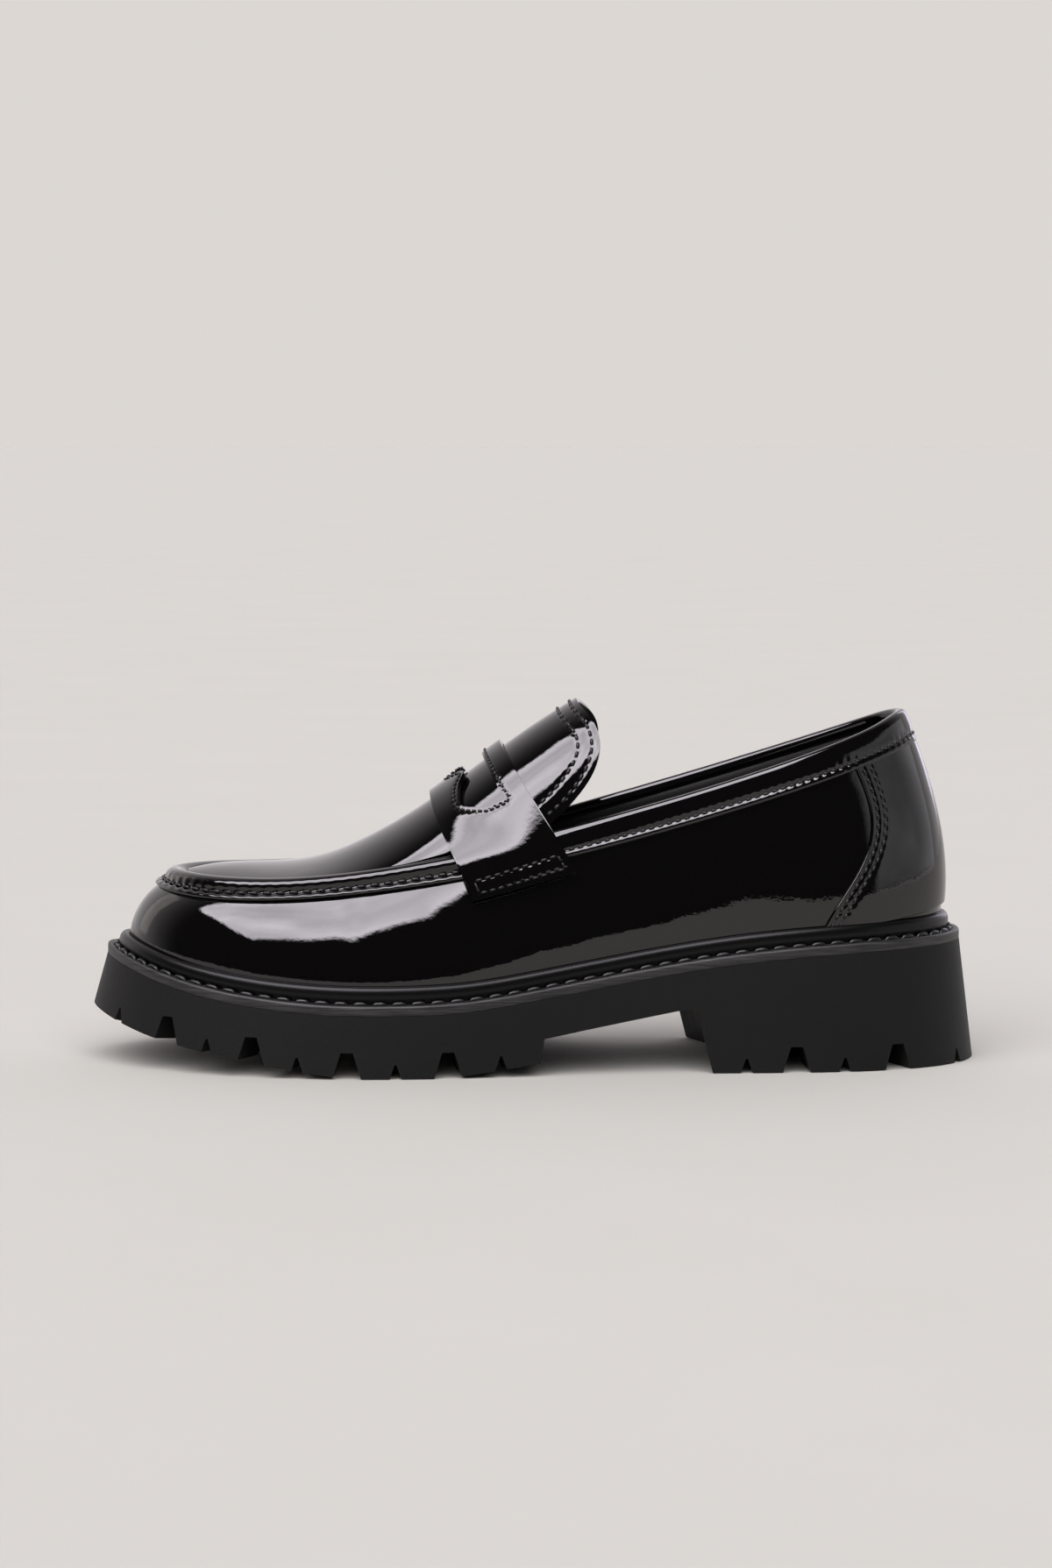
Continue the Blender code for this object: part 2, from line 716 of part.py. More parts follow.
def wall_faces_at(share, heights):
    """One station of the wall with its outward normals."""
    nudge = 1e-4
    here = np.array([share])
    heights = np.asarray(heights)
    grid = wall(here, heights)[0]
    along = wall(here + nudge, heights)[0] - wall(here - nudge, heights)[0]
    across = wall(here, heights + nudge)[0] - wall(here, heights - nudge)[0]
    normal = np.cross(along, across)
    normal /= np.linalg.norm(normal, axis=-1, keepdims=True)
    middle = OUTLINE(np.linspace(0, 1, 50)).mean(axis=0)
    return grid, normal if np.dot(normal[0, :2], grid[0, :2] - middle) > 0 else -normal


def make_apron(finish):
    """The moccasin plug and the tongue, one sheet inside the rolled seam and under the strap."""
    above = apron_grid(26, 17)
    normal = normals_of(above)
    if normal[5, 8, 2] < 0:
        normal = -normal
    return slab("apron", above, offset(above, normal, -APRON_THICK), finish)


def body_lines():
    """Lines along the outside of upper, strip and apron, in order round the girth from outer to inner side."""
    heel = heel_share()
    lines = []
    outer_shares = np.linspace(0.12, heel * 0.8, 160)
    inner_shares = np.linspace(0.88, 1 - (1 - heel) * 0.8, 160)
    for shares in (outer_shares, inner_shares):
        lip = lip_heights(shares)
        roll = strip_roll(stepped_outline(shares, WELT_TO_UPPER)[0][:, 0])
        rows = []
        for share, edge, swell in zip(shares, lip, roll):
            low = np.linspace(0.25, edge - 0.02, 8)
            high = np.linspace(edge, 1.0, 7)
            grid, normal = wall_faces_at(share, np.concatenate([low, high]))
            lift = np.concatenate([np.zeros(8), GAP + rolled(np.linspace(0, 1, 7), swell)])
            rows.append(grid + normal * lift[:, None])
        lines.append(np.array(rows).transpose(1, 0, 2))
    x = np.linspace(-60, TONGUE_TIP, 160)
    over = [apron(x, np.full_like(x, share)) for share in np.sin(np.linspace(-1, 1, 17) * np.pi / 2)[1:-1]]
    return list(lines[0]) + over + list(lines[1][::-1])


def strap_sheet(share, height):
    """The x of the strap's sheet at a height, for a share of its width from -1 in front to 1 behind."""
    front, rear = strap_front(height), strap_rear(height)
    return front + (rear - front) * (share + 1) / 2


def girth(lines, share):
    """The taut line over the shoe at a share of the strap's width: where the sheet meets the body, bridged."""
    points = []
    for line in lines:
        side = line[:, 0] - strap_sheet(share, line[:, 2])
        where = np.nonzero(np.diff(np.sign(side)))[0]
        if len(where):
            i = where[0]
            part = side[i] / (side[i] - side[i + 1])
            points.append(line[i] + (line[i + 1] - line[i]) * part)
    points = np.array(points)
    taut = [0]
    while taut[-1] != len(points) - 1:
        here = points[taut[-1], 1:]
        best, reach = None, None
        for k in range(taut[-1] + 1, len(points)):
            ahead = points[k, 1:] - here
            angle = np.arctan2(ahead[1], ahead[0])
            if best is None or angle >= reach:
                best, reach = k, angle
        taut.append(best)
    return points[taut]


def strap_grid(rows, columns, clearance):
    """The strap's middle face and normals: a row for each share of its width, a column round the girth."""
    lines = body_lines()
    grid = []
    for share in np.linspace(-1, 1, rows):
        line = girth(lines, share)
        end = STRAP_END_FRONT + (STRAP_END_REAR - STRAP_END_FRONT) * (share + 1) / 2
        length = np.concatenate([[0], np.cumsum(np.linalg.norm(np.diff(line, axis=0), axis=1))])
        fine = np.linspace(0, length[-1], 600)
        dense = np.stack([np.interp(fine, length, line[:, k]) for k in range(3)], axis=1)
        peak = np.argmax(dense[:, 2])
        first = np.interp(end, dense[:peak, 2], fine[:peak])
        last = np.interp(-end, -dense[peak:, 2], fine[peak:])
        middle = fine[np.argmin(np.abs(dense[:, 1] - (dense[0, 1] + dense[-1, 1]) / 2))]
        half = columns // 2
        where = np.concatenate([np.linspace(first, middle, half + 1), np.linspace(middle, last, half + 1)[1:]])
        grid.append(np.stack([np.interp(where, fine, dense[:, k]) for k in range(3)], axis=1))
    grid = np.array(grid)
    for _ in range(3):
        grid[:, 1:-1] = (grid[:, :-2] + 2 * grid[:, 1:-1] + grid[:, 2:]) / 4
    normal = normals_of(grid)
    if normal[rows // 2, columns // 2, 2] < 0:
        normal = -normal
    return offset(grid, normal, clearance), normal


def make_strap(finish):
    """The saddle strap with its cut-out, pulled taut over apron, rolled seam and quarters."""
    below, normal = strap_grid(7, 33, 3 * GAP)
    strap = slab("saddle_strap", offset(below, normal, STRAP_THICK), below, finish)
    rows, columns = below.shape[:2]
    along = np.concatenate([[0], np.cumsum(np.linalg.norm(np.diff(below[rows // 2], axis=0), axis=1))])
    along -= along[columns // 2]
    places = np.linspace(-SLOT[-1][0], SLOT[-1][0], 13)
    cut_above, cut_below = [], []
    for place in places:
        column = np.interp(place, along, np.arange(columns))
        edges = (float(slot_front(abs(place))), float(slot_rear(abs(place))))
        row = [(1 + edge) / 2 * (rows - 1) for edge in edges]
        points = [sample(below, r, column) for r in row]
        lifts = [sample(normal, r, column) for r in row]
        cut_above.append([p + n * 5.0 for p, n in zip(points, lifts)])
        cut_below.append([p - n * 2.0 for p, n in zip(points, lifts)])
    points = np.concatenate([np.array(cut_above).reshape(-1, 3), np.array(cut_below).reshape(-1, 3)])
    boolean(strap, cutter("strap_slot", points, slab_faces(len(places), 2)), "DIFFERENCE")
    return strap


def sample(grid, row, column):
    """A grid's value between its points."""
    r, c = int(min(row, grid.shape[0] - 1.001)), int(min(column, grid.shape[1] - 1.001))
    a, b = row - r, column - c
    low = grid[r, c] * (1 - b) + grid[r, c + 1] * b
    high = grid[r + 1, c] * (1 - b) + grid[r + 1, c + 1] * b
    return low * (1 - a) + high * a


def make_counter(finish):
    """The heel counter laid over the quarters, from above the rand to below the collar band."""
    heel = heel_share()
    rows, columns = 9, 21
    above, below = [], []
    for level in np.linspace(0, 1, rows):
        line, lifts = [], []
        for place in np.linspace(-1, 1, columns):
            shares = np.linspace(0.3 if place < 0 else 0.7, heel, 60)
            lip = lip_heights(shares)
            t = COUNTER_FOOT + (lip - 0.035 - COUNTER_FOOT) * level
            path = np.array([wall(shares[i : i + 1], [t[i]])[0, 0] for i in range(len(shares))])
            gap = path[:, 0] - counter_edge(path[:, 2])
            start = np.interp(0.0, gap, shares)
            share = heel + (start - heel) * abs(place)
            height = np.interp(share, np.sort(shares), t[np.argsort(shares)])
            grid, normal = wall_faces_at(share, [height, height + 0.01])
            line.append(grid[0])
            lifts.append(normal[0])
        above.append(np.array(line) + np.array(lifts) * (GAP + COUNTER_THICK))
        below.append(np.array(line) + np.array(lifts) * GAP)
    return slab("heel_counter", np.array(above), np.array(below), finish)


def main():
    for item in list(bpy.data.objects):
        bpy.data.objects.remove(item)
    finishes = {name: material(name) for name in COLOURS}
    shares = ring_shares(RING)
    make_outsole(shares, finishes["rubber"])
    make_midsole(shares, finishes["welt_rubber"])
    make_rand(shares, finishes["rand_rubber"])
    make_insole(shares, finishes["lining_leather"])
    make_upper(shares, finishes["patent_leather"])
    make_strip(shares, finishes["patent_leather"])
    make_apron(finishes["patent_leather"])
    make_strap(finishes["patent_leather"])
    make_counter(finishes["patent_leather"])


main()
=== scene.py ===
"""The looks of a penny loafer in black patent leather on a thick lugged rubber sole.

It is the left shoe, toe towards -X and inner side towards +Y. Sizes are in millimetres and become metres when a
mesh is made. Every leather piece is cut from one surface: the wall of the upper, a cubic section that runs right
round the shoe from its feather edge up to its rim.
"""

import bmesh
import bpy
import numpy as np
from mathutils import Euler, Matrix
from mathutils.kdtree import KDTree


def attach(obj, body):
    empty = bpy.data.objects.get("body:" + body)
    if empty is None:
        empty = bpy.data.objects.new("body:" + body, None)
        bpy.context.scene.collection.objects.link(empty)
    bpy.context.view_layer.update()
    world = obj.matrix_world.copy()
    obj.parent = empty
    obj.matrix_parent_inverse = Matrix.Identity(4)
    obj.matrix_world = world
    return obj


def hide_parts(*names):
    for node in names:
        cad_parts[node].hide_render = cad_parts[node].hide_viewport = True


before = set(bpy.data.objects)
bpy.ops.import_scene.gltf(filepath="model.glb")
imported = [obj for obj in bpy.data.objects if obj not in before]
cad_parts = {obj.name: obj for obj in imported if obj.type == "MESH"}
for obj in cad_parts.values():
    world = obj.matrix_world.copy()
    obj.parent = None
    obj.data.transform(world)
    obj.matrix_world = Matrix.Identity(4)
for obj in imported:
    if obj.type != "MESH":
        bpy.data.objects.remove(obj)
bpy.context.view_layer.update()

MM = 0.001
GAP = 0.3  # how far the upper's edge stands off the welt

# Thicknesses
WALL_THICK = 2.0
APRON_THICK = 1.8
STRAP_THICK = 1.9
COUNTER_THICK = 0.9
MIDSOLE_THICK = 3.2

# How the outlines step in from the welt's edge
WELT_TO_UPPER = 7.0
RAND_OUT = 3.1
RAND_CLEAR = 0.2 * GAP  # how far it stands off the welt
RAND_FOLLOWS = 0.25  # how much of the wall's bulge it follows
SOLE_FLARE_SIDE = 1.6
SOLE_FLARE_END = 3.0

# Once round the shoe, from the toe by the outer side: the welt's edge, and the rim of the upper above it,
# which is the apron's seam in front and the collar behind
ROUND = (
    # welt x, welt y, rim x, rim y, rim height
    (-137.8, 4.0, -112.9, 2.5, 58.6),
    (-127.5, -21.5, -107.6, -11.3, 58.6),
    (-106.0, -39.0, -95.5, -21.0, 58.6),
    (-76.0, -49.3, -73.5, -26.3, 59.2),
    (-42.0, -50.9, -42.5, -28.0, 63.4),
    (0.0, -45.3, -1.0, -29.8, 72.8),
    (45.0, -39.3, 45.0, -28.6, 85.2),
    (85.0, -37.2, 84.0, -24.9, 97.5),
    (115.0, -30.5, 107.0, -16.3, 106.0),
    (132.0, -17.0, 115.5, -8.2, 110.0),
    (137.8, 1.0, 118.7, 0.5, 111.3),
    (132.0, 18.6, 115.5, 9.2, 110.4),
    (115.0, 31.0, 107.0, 17.3, 107.1),
    (85.0, 36.0, 84.0, 25.6, 98.9),
    (45.0, 33.8, 45.0, 28.0, 86.7),
    (0.0, 38.0, -1.0, 26.5, 73.8),
    (-42.0, 48.5, -42.5, 26.0, 63.6),
    (-76.0, 51.1, -73.5, 28.0, 59.2),
    (-106.0, 43.7, -95.5, 24.8, 58.6),
    (-127.5, 27.5, -107.6, 15.3, 58.6),
)

# Heights along the sole: the top of the welt
WELT_TOP = (
    # x, height
    (-140.0, 37.4),
    (-125.0, 32.6),
    (-110.0, 28.6),
    (-90.0, 25.2),
    (-65.0, 23.0),
    (-40.0, 22.7),
    (-20.0, 23.7),
    (0.0, 26.6),
    (30.0, 31.9),
    (60.0, 36.7),
    (90.0, 39.7),
    (120.0, 41.2),
    (140.0, 41.6),
)

# The tread under the forefoot, which rocks up at the toe; it is cut flat at the floor
TREAD = (
    # x, height
    (-144.0, 17.6),
    (-125.0, 11.4),
    (-105.0, 7.2),
    (-85.0, 3.9),
    (-70.0, 1.6),
    (-57.0, 0.0),
    (-42.0, -0.9),
    (-27.0, 0.0),
    (-12.0, 1.9),
    (3.0, 4.3),
)

# The upper's wall, by the x of the welt. The belly stands out from the feather edge, the shoulder lies a share
# of the way in to the rim, and both are a share of the way up
WALL = (
    # x, belly out, belly up, shoulder in, shoulder up
    (-138.0, 0.8, 0.40, 0.28, 0.90),
    (-118.0, 2.2, 0.32, 0.26, 0.87),
    (-95.0, 3.3, 0.25, 0.25, 0.83),
    (-65.0, 3.8, 0.23, 0.29, 0.80),
    (-30.0, 3.6, 0.22, 0.37, 0.78),
    (5.0, 3.6, 0.21, 0.36, 0.75),
    (40.0, 3.4, 0.12, 0.26, 0.69),
    (80.0, 3.3, 0.10, 0.14, 0.64),
    (112.0, 3.6, 0.12, 0.05, 0.59),
    (138.0, 4.4, 0.26, -0.04, 0.58),
)

# The creases where the vamp flexes and the quarters give, on the outer side (-1) and the inner side (1)
CREASES = (
    # side, x and height of one end, x and height of the other, width, depth
    (-1, -62.0, 57.0, -54.0, 40.0, 3.4, 0.16),
    (-1, -50.0, 58.0, -56.0, 44.0, 3.0, 0.13),
    (-1, -34.0, 60.0, -29.0, 46.0, 4.2, 0.10),
    (-1, 14.0, 50.0, 46.0, 56.0, 6.5, 0.14),
    (1, -66.0, 57.0, -57.0, 38.0, 3.8, 0.16),
    (1, -46.0, 58.0, -50.0, 40.0, 3.6, 0.13),
    (1, 16.0, 52.0, 50.0, 60.0, 6.5, 0.14),
)

# The strip that is rolled into the apron's seam in front and runs on as the collar band
STRIP_WIDTH = (
    # x of the feather edge, width
    (-131.0, 9.4),
    (-95.0, 8.8),
    (-60.0, 8.6),
    (-30.0, 8.6),
    (0.0, 8.8),
    (40.0, 9.0),
    (131.0, 10.2),
)
# Its section: how far up from its lower edge as a share of the width and in millimetres, and the height above
# the wall. In front it is a lip, a sewn channel and a roll; behind, a folded band that turns in over the collar
ROLL_SECTION = (
    # share, further, height
    (0.00, 0.0, 0.05),
    (0.00, -0.15, 0.80),
    (0.02, 0.0, 1.50),
    (0.12, 0.0, 1.62),
    (0.22, 0.0, 1.20),
    (0.29, 0.0, 0.95),
    (0.37, 0.0, 1.35),
    (0.48, 0.0, 2.45),
    (0.62, 0.0, 3.05),
    (0.78, 0.0, 2.95),
    (0.93, 0.0, 2.10),
    (1.00, 0.6, 0.75),
    (1.00, 0.9, -0.60),
    (1.00, 0.2, -1.20),
    (0.50, 0.0, 0.10),
)
BAND_SECTION = (
    # share, further, height
    (0.00, 0.0, 0.05),
    (0.00, -0.10, 0.60),
    (0.02, 0.0, 1.15),
    (0.12, 0.0, 1.30),
    (0.20, 0.0, 1.05),
    (0.25, 0.0, 0.90),
    (0.31, 0.0, 1.15),
    (0.50, 0.0, 1.40),
    (0.75, 0.0, 1.40),
    (1.00, -0.3, 1.20),
    (1.00, 0.9, 0.35),
    (1.00, 1.1, -1.00),
    (1.00, 0.2, -2.20),
    (1.00, -2.6, -2.50),
    (0.60, 0.0, -1.00),
)
ROLL_ENDS = -26.0  # under the strap the roll flattens out and becomes the band
BAND_STARTS = 2.0
SEW_ROLL = 0.29  # the sewn channels' places across the strip
SEW_BAND = 0.25
SEAM_TURNS = -8.0  # where the long stitches give way to the fine ones, under the strap

# The ridge line of the apron and tongue, and how far its sections lean back
APRON_LINE = (
    # x, height, lean
    (-112.6, 60.0, 0.0),
    (-105.0, 61.5, 0.0),
    (-92.0, 62.4, 0.0),
    (-79.0, 62.9, 0.2),
    (-67.0, 65.2, 1.0),
    (-55.0, 70.2, 2.8),
    (-40.0, 78.6, 6.0),
    (-21.0, 92.0, 10.0),
    (0.0, 107.2, 13.5),
    (14.0, 116.0, 16.0),
    (18.0, 118.4, 17.0),
)
# How the apron's sections fill out, from a low crown at the toe to a full arch at the instep
APRON_FULLNESS = (
    # x, width power, arch power
    (-112.6, 2.0, 1.00),
    (-80.0, 2.0, 1.05),
    (-55.0, 2.0, 1.15),
    (-30.0, 2.1, 1.45),
    (14.0, 2.2, 1.90),
)
APRON_START = 1.2  # behind the front end of its ridge line
APRON_SHARE = 0.977  # how far its edges reach towards the rim, and where they rise out of the seam
APRON_FREE = (-25.0, 0.0)
TONGUE_TIP = 13.8
TONGUE_CORNER = 22.0
TONGUE_SQUARE = 16
TONGUE_SWELL = 2.0  # how far its end swells back between the middle and the corners, and how far out it does most
TONGUE_SWELL_OUT = 1.8

# The saddle strap's two edges seen from the side, and where its ends are stitched down
STRAP_EDGES = (
    # height, front x, rear x
    (48.0, -15.6, 22.8),
    (58.0, -20.3, 16.7),
    (68.0, -25.7, 10.6),
    (78.0, -30.2, 4.5),
    (88.0, -32.4, -1.8),
    (104.0, -33.6, -11.6),
)
STRAP_END_FRONT = 53.6
STRAP_END_REAR = 62.9
STRAP_CLEAR = 0.9
# What it is stretched over: the wall from a share of the way up it to just under the strip, and the strip, where
# the body stands out a little, and more over the roll
BODY_FRONT = 0.12  # its lines' front ends, as shares of the way round, and their rear ends, of the way to the heel
BODY_BACK = 0.8
BODY_APRON = -60.0  # the x where the lines over the apron start
BODY_POINTS = 200
BODY_FOOT = 0.25
BODY_UNDER_STRIP = 0.02
BODY_STANDS = 1.2
BODY_ROLL, BODY_BAND = 1.5, 0.1
BODY_ROLL_STARTS = 0.28

# The strap's cut-out, by the distance from the middle of the strap round the instep
SLOT = (
    # distance, front edge, rear edge, as shares of the strap's half width
    (0.0, -0.54, 0.40),
    (4.4, -0.20, 0.40),
    (10.5, -0.33, 0.41),
    (17.0, -0.44, 0.42),
    (23.0, -0.34, 0.44),
    (26.5, 0.04, 0.46),
)
SLOT_END = SLOT[-1][0]

# The heel counter: the share of the way up the wall where it starts, how far it tucks under the band, its front edge
COUNTER_FOOT = 0.15
COUNTER_TUCK = 0.03
COUNTER_CLEAR = 0.3 * GAP  # how far it stands off the wall
COUNTER_EDGE = (
    # height, x
    (40.0, 89.5),
    (50.0, 95.0),
    (60.0, 101.5),
    (70.0, 106.2),
    (80.0, 107.0),
    (90.0, 104.2),
    (100.0, 99.5),
)

# The tread's pattern: grooves cut in from the edge of the sole, by x, and their sizes
WIDE_GROOVES = (-114.6, -88.0, -58.1, -26.6, 83.0, 114.8)
NARROW_GROOVES = (-129.6, -101.8, -73.6, -43.0, -10.2, 67.2, 98.2, 132.8)
WIDE_GROOVE = (3.9, 1.9, 8.0)  # half width at the floor, half width at the root, depth
NARROW_GROOVE = (1.8, 0.3, 4.4)
LUG_LENGTH = 17.0
GROOVE_REACH = (14.0, 4.0, -LUG_LENGTH - 1.5)  # where a groove's profiles lie, out from the sole's edge
GROOVE_OVERCUT = (1.4, 0.4)  # how wide a cut starts and how far below the floor, in its own width and depth
CUT_FROM = -3.0  # the height at which the other cuts start
# The sunken middle between the edge lugs, from one x to another, with crosses in it
TREAD_RECESS = 6.5
RECESSES = ((-119.0, -6.0), (68.0, 120.0))
CROSS_LUGS = (-104.0, -74.3, -43.0, -10.5, 78.0, 108.0)
CROSS_ARM = 11.0
CROSS_HALF_WIDTH = 4.2
CROSS_DRAFT = 1.14
# The arch and the heel's front face, by the x of that face at each side and in the middle
FOREFOOT_END = 3.0
HEEL_TREAD = 13.0  # from here back the tread is level
SHANK_FRONT = 11.6  # the arch's ceiling at its front end, and how it rises to the back
SHANK_RISE = 0.188
BREAST_OUTER = 51.5
BREAST_MIDDLE = 57.0
BREAST_INNER = 41.0
BREAST_DRAFT = 4.6
SOLE_HALF = 46.0
PROFILES = 25  # across the arch, and along each sunken middle
SOLE_EDGE = 0.55  # the moulded edges' radius, and the angle from which an edge gets it
SOLE_EDGE_ANGLE = 28

# The leather's cut edges: their radius in each part, and the angle from which an edge gets it
CUT_EDGE = {"apron": 0.5, "saddle_strap": 0.75, "heel_counter": 0.4}
CUT_EDGE_ANGLE = 55

# Seams: the pitch of their stitches and the thread's radius
WELT_PITCH, WELT_THREAD = 6.1, 0.78
WELT_ROW = (2.75, -0.18)  # in from the welt's edge, and up from its top
STITCH = 0.74  # how much of the pitch a stitch covers: usually, on the tongue and the strap, and on the welt
LONG_STITCH = 0.8
WELT_STITCH = 0.86
ROLL_PITCH, ROLL_THREAD = 4.3, 0.5
FINE_PITCH, FINE_THREAD = 2.9, 0.36
TONGUE_PITCH, TONGUE_THREAD = 3.1, 0.55
COUNTER_THREAD = 0.42
STRAP_THREAD = 0.42
SLOT_PITCH = 2.0
SEW_HEIGHT_ROLL = 0.95  # how high over the wall the strip's stitches lie
SEW_HEIGHT_BAND = 0.90
PUCKER_ROLL = 0.20  # how far the strip swells between stitches, and how far from them that reaches
PUCKER_BAND = 0.07
PUCKER_REACH = 1.7
# A stitch, in thread radii: how high its middle lies, how far its ends dive below that and how much thinner they get
STITCH_RISES, STITCH_DIVES, STITCH_TAPERS = 0.62, 1.1, 0.55
STITCH_BENDS, STITCH_SIDES = 7, 7
BED_DEPTH = 0.25  # how far a row of stitches sinks the leather, how wide the dip is and how it waves along the row
BED_WIDTH = 0.85
BED_WAVE = 0.28
THREAD_SUNK = 0.8 * BED_DEPTH  # how far the thread lies down in it, and on the tongue
TONGUE_SUNK = 1.2 * BED_DEPTH
BOX_ROWS = (2.0, 6.4)  # the box at the strap's end: its rows from the end, and its sides from the edges
BOX_SIDE = 2.3
SLOT_MARGIN = 1.3
TONGUE_MARGINS = (2.5, 7.0)
TONGUE_HIDDEN = -16.0  # the tongue's rows start under the strap
COUNTER_ROWS = (("front", 2.1), ("rear", 4.8))
COUNTER_HIDDEN = 4  # rows of the counter's grid under the collar band, where its stitches stop

# How finely the pieces are drawn
RING_POINTS = 360  # once round the sole, the welt and the rand
WALL_POINTS, WALL_ROWS, LINING_STEP = 720, 81, 8
STRIP_POINTS, STRIP_SIDES = 1200, 49
APRON_ROWS, APRON_COLUMNS = 250, 141
STRAP_ROWS, STRAP_COLUMNS, STRAP_FINE = 9, 33, 12  # the strap's coarse grid, and how many times finer it gets
STRAP_LINE = 800  # points along each line that it is laid on, and how often it is smoothed round and across
STRAP_SMOOTHED = (3, 2)
STRAP_BLOCK = 20  # rows of leather before, across and behind the cut-out
COUNTER_POINTS = 80
RAND_SIDES = 31
RIM_POINTS, WELT_ROW_POINTS, STRIP_ROW_POINTS = 1200, 1200, 1500
NUDGE = 5e-4  # the small step that slopes are measured over, as a share

# Camera and studio
CAMERA_TARGET = (-2.26, 0.0, 87.8)
CAMERA_DISTANCE = 1290.0
CAMERA_PITCH = 5.0
CAMERA_LENS = 91.76
SENSOR = 36.0
PAPER_HALF = 60000.0
PAPER_DROP = 0.2  # how far it lies below the sole, so that it doesn't show through
SUN_STRENGTH = 3.25
SUN_SPREAD = 80
SUN_TILT = (38, 0, -10)
ROOM_GLOW = (0.035, 1.08)  # how bright the room is on the camera's side and behind the shoe
ROOM_TURN = (-0.18, 0.9)  # between which directions it brightens
BOX_AIM = 60.0  # the height that the softboxes face
SOFT_BOXES = (
    # name, azimuth, elevation, roll, distance, sideways, width, height, radiance, colour, share cut off its corner
    ("key", -25, 56, 20, 1400, -250, 1820, 980, 11.5, "#efe9f0", 0.32),
    ("toe_panel", -118, 20, 0, 1500, 0, 420, 1000, 0.7, "#f0e6da", 0.0),
    ("heel_panel", 78, 14, 0, 1600, 0, 2500, 900, 0.8, "#f2f0f4", 0.0),
    ("heel_rim", 146, 22, 0, 1500, 0, 420, 1200, 2.4, "#dcd5f2", 0.0),
)


# ---- Curves and the wall of the upper


def cubic(knots, values, closed=False):
    """A twice smooth cubic through the values. A closed one repeats its first value at its last knot."""
    count = len(knots)
    step = np.diff(knots)
    slope = np.diff(values) / step
    system = np.zeros((count, count))
    right = np.zeros(count)
    for i in range(1, count - 1):
        system[i, i - 1 : i + 2] = step[i - 1], 2 * (step[i - 1] + step[i]), step[i]
        right[i] = 6 * (slope[i] - slope[i - 1])
    if closed:
        system[0, [0, -1]] = 1, -1
        system[-1, [0, 1, -2, -1]] = 2 * step[0], step[0], step[-1], 2 * step[-1]
        right[-1] = 6 * (slope[0] - slope[-1])
    else:
        system[0, 0] = system[-1, -1] = 1
    bend = np.linalg.solve(system, right)

    def at(where):
        where = np.clip(np.asarray(where, float), knots[0], knots[-1])
        i = np.clip(np.searchsorted(knots, where, side="right") - 1, 0, count - 2)
        after = where - knots[i]
        before = knots[i + 1] - where
        return (
            (bend[i] * before**3 + bend[i + 1] * after**3) / (6 * step[i])
            + (values[i] / step[i] - bend[i] * step[i] / 6) * before
            + (values[i + 1] / step[i] - bend[i + 1] * step[i] / 6) * after
        )

    return at


def spline(rows, column):
    """A cubic spline through one column of a table, as a function of its first column."""
    return cubic(np.array([row[0] for row in rows], float), np.array([row[column] for row in rows], float))


def smooth_section(rows, count):
    """The columns of a section's table, on a smooth curve through its rows."""
    knots = np.arange(len(rows), dtype=float)
    places = np.linspace(0, knots[-1], count)
    return [cubic(knots, column)(places) for column in np.array(rows).T]


def lengths(path):
    """How far along a path each of its points is."""
    return np.concatenate([[0], np.cumsum(np.linalg.norm(np.diff(path, axis=0), axis=1))])


def read_off(where, along, path):
    """Points of a path at distances along it."""
    return np.stack([np.interp(where, along, column) for column in path.T], axis=-1)


def round_curves():
    """The welt's edge and the rim, as functions of the share of the way round."""
    points = np.array(ROUND + ROUND[:1], float)
    along = lengths(points[:, :2])
    curves = [cubic(along, points[:, column], closed=True) for column in range(5)]
    fine = np.linspace(0, along[-1], 2001)
    length = lengths(np.stack([curve(fine) for curve in curves[:2]], axis=1))
    to_share = cubic(np.linspace(0, 1, 201), np.interp(np.linspace(0, length[-1], 201), length, fine))

    def welt(share):
        return np.stack([curve(to_share(np.asarray(share) % 1.0)) for curve in curves[:2]], axis=-1)

    def rim(share):
        return np.stack([curve(to_share(np.asarray(share) % 1.0)) for curve in curves[2:]], axis=-1)

    return welt, rim


OUTLINE, RIM = round_curves()
near_heel = np.linspace(0.4, 0.6, 4001)
HEEL = float(near_heel[np.argmax(OUTLINE(near_heel)[:, 0])])  # the share of the way round at the back of the heel
welt_top = spline(WELT_TOP, 1)
tread_curve = spline(TREAD, 1)
apron_height = spline(APRON_LINE, 1)
apron_lean = spline(APRON_LINE, 2)
width_power = spline(APRON_FULLNESS, 1)
arch_power = spline(APRON_FULLNESS, 2)
strap_front = spline(STRAP_EDGES, 1)
strap_rear = spline(STRAP_EDGES, 2)
slot_front = spline(SLOT, 1)
slot_rear = spline(SLOT, 2)
counter_edge = spline(COUNTER_EDGE, 1)
strip_width = spline(STRIP_WIDTH, 1)
wall_columns = [spline(WALL, column) for column in range(1, 5)]


def smooth_step(low, high, value):
    """A soft change from 0 at low to 1 at high."""
    t = np.clip((value - low) / (high - low), 0, 1)
    return t * t * (3 - 2 * t)


def unit(vectors):
    """The vectors at length 1."""
    return vectors / np.maximum(np.linalg.norm(vectors, axis=-1, keepdims=True), 1e-12)


def outline_normal(shares):
    """Outward normals of the welt's outline, seen from above."""
    tangent = unit(OUTLINE(shares + NUDGE) - OUTLINE(shares - NUDGE))
    return np.stack([tangent[..., 1], -tangent[..., 0]], axis=-1)


def stepped(shares, inset):
    """Points on the outline moved in from the welt's edge."""
    return OUTLINE(shares) - outline_normal(shares) * np.reshape(inset, (-1, 1))


def on_welt(shares, inset, up):
    """Points in from the welt's edge and up from its top."""
    flat = stepped(shares, inset)
    return np.column_stack([flat, welt_top(flat[:, 0]) + up])


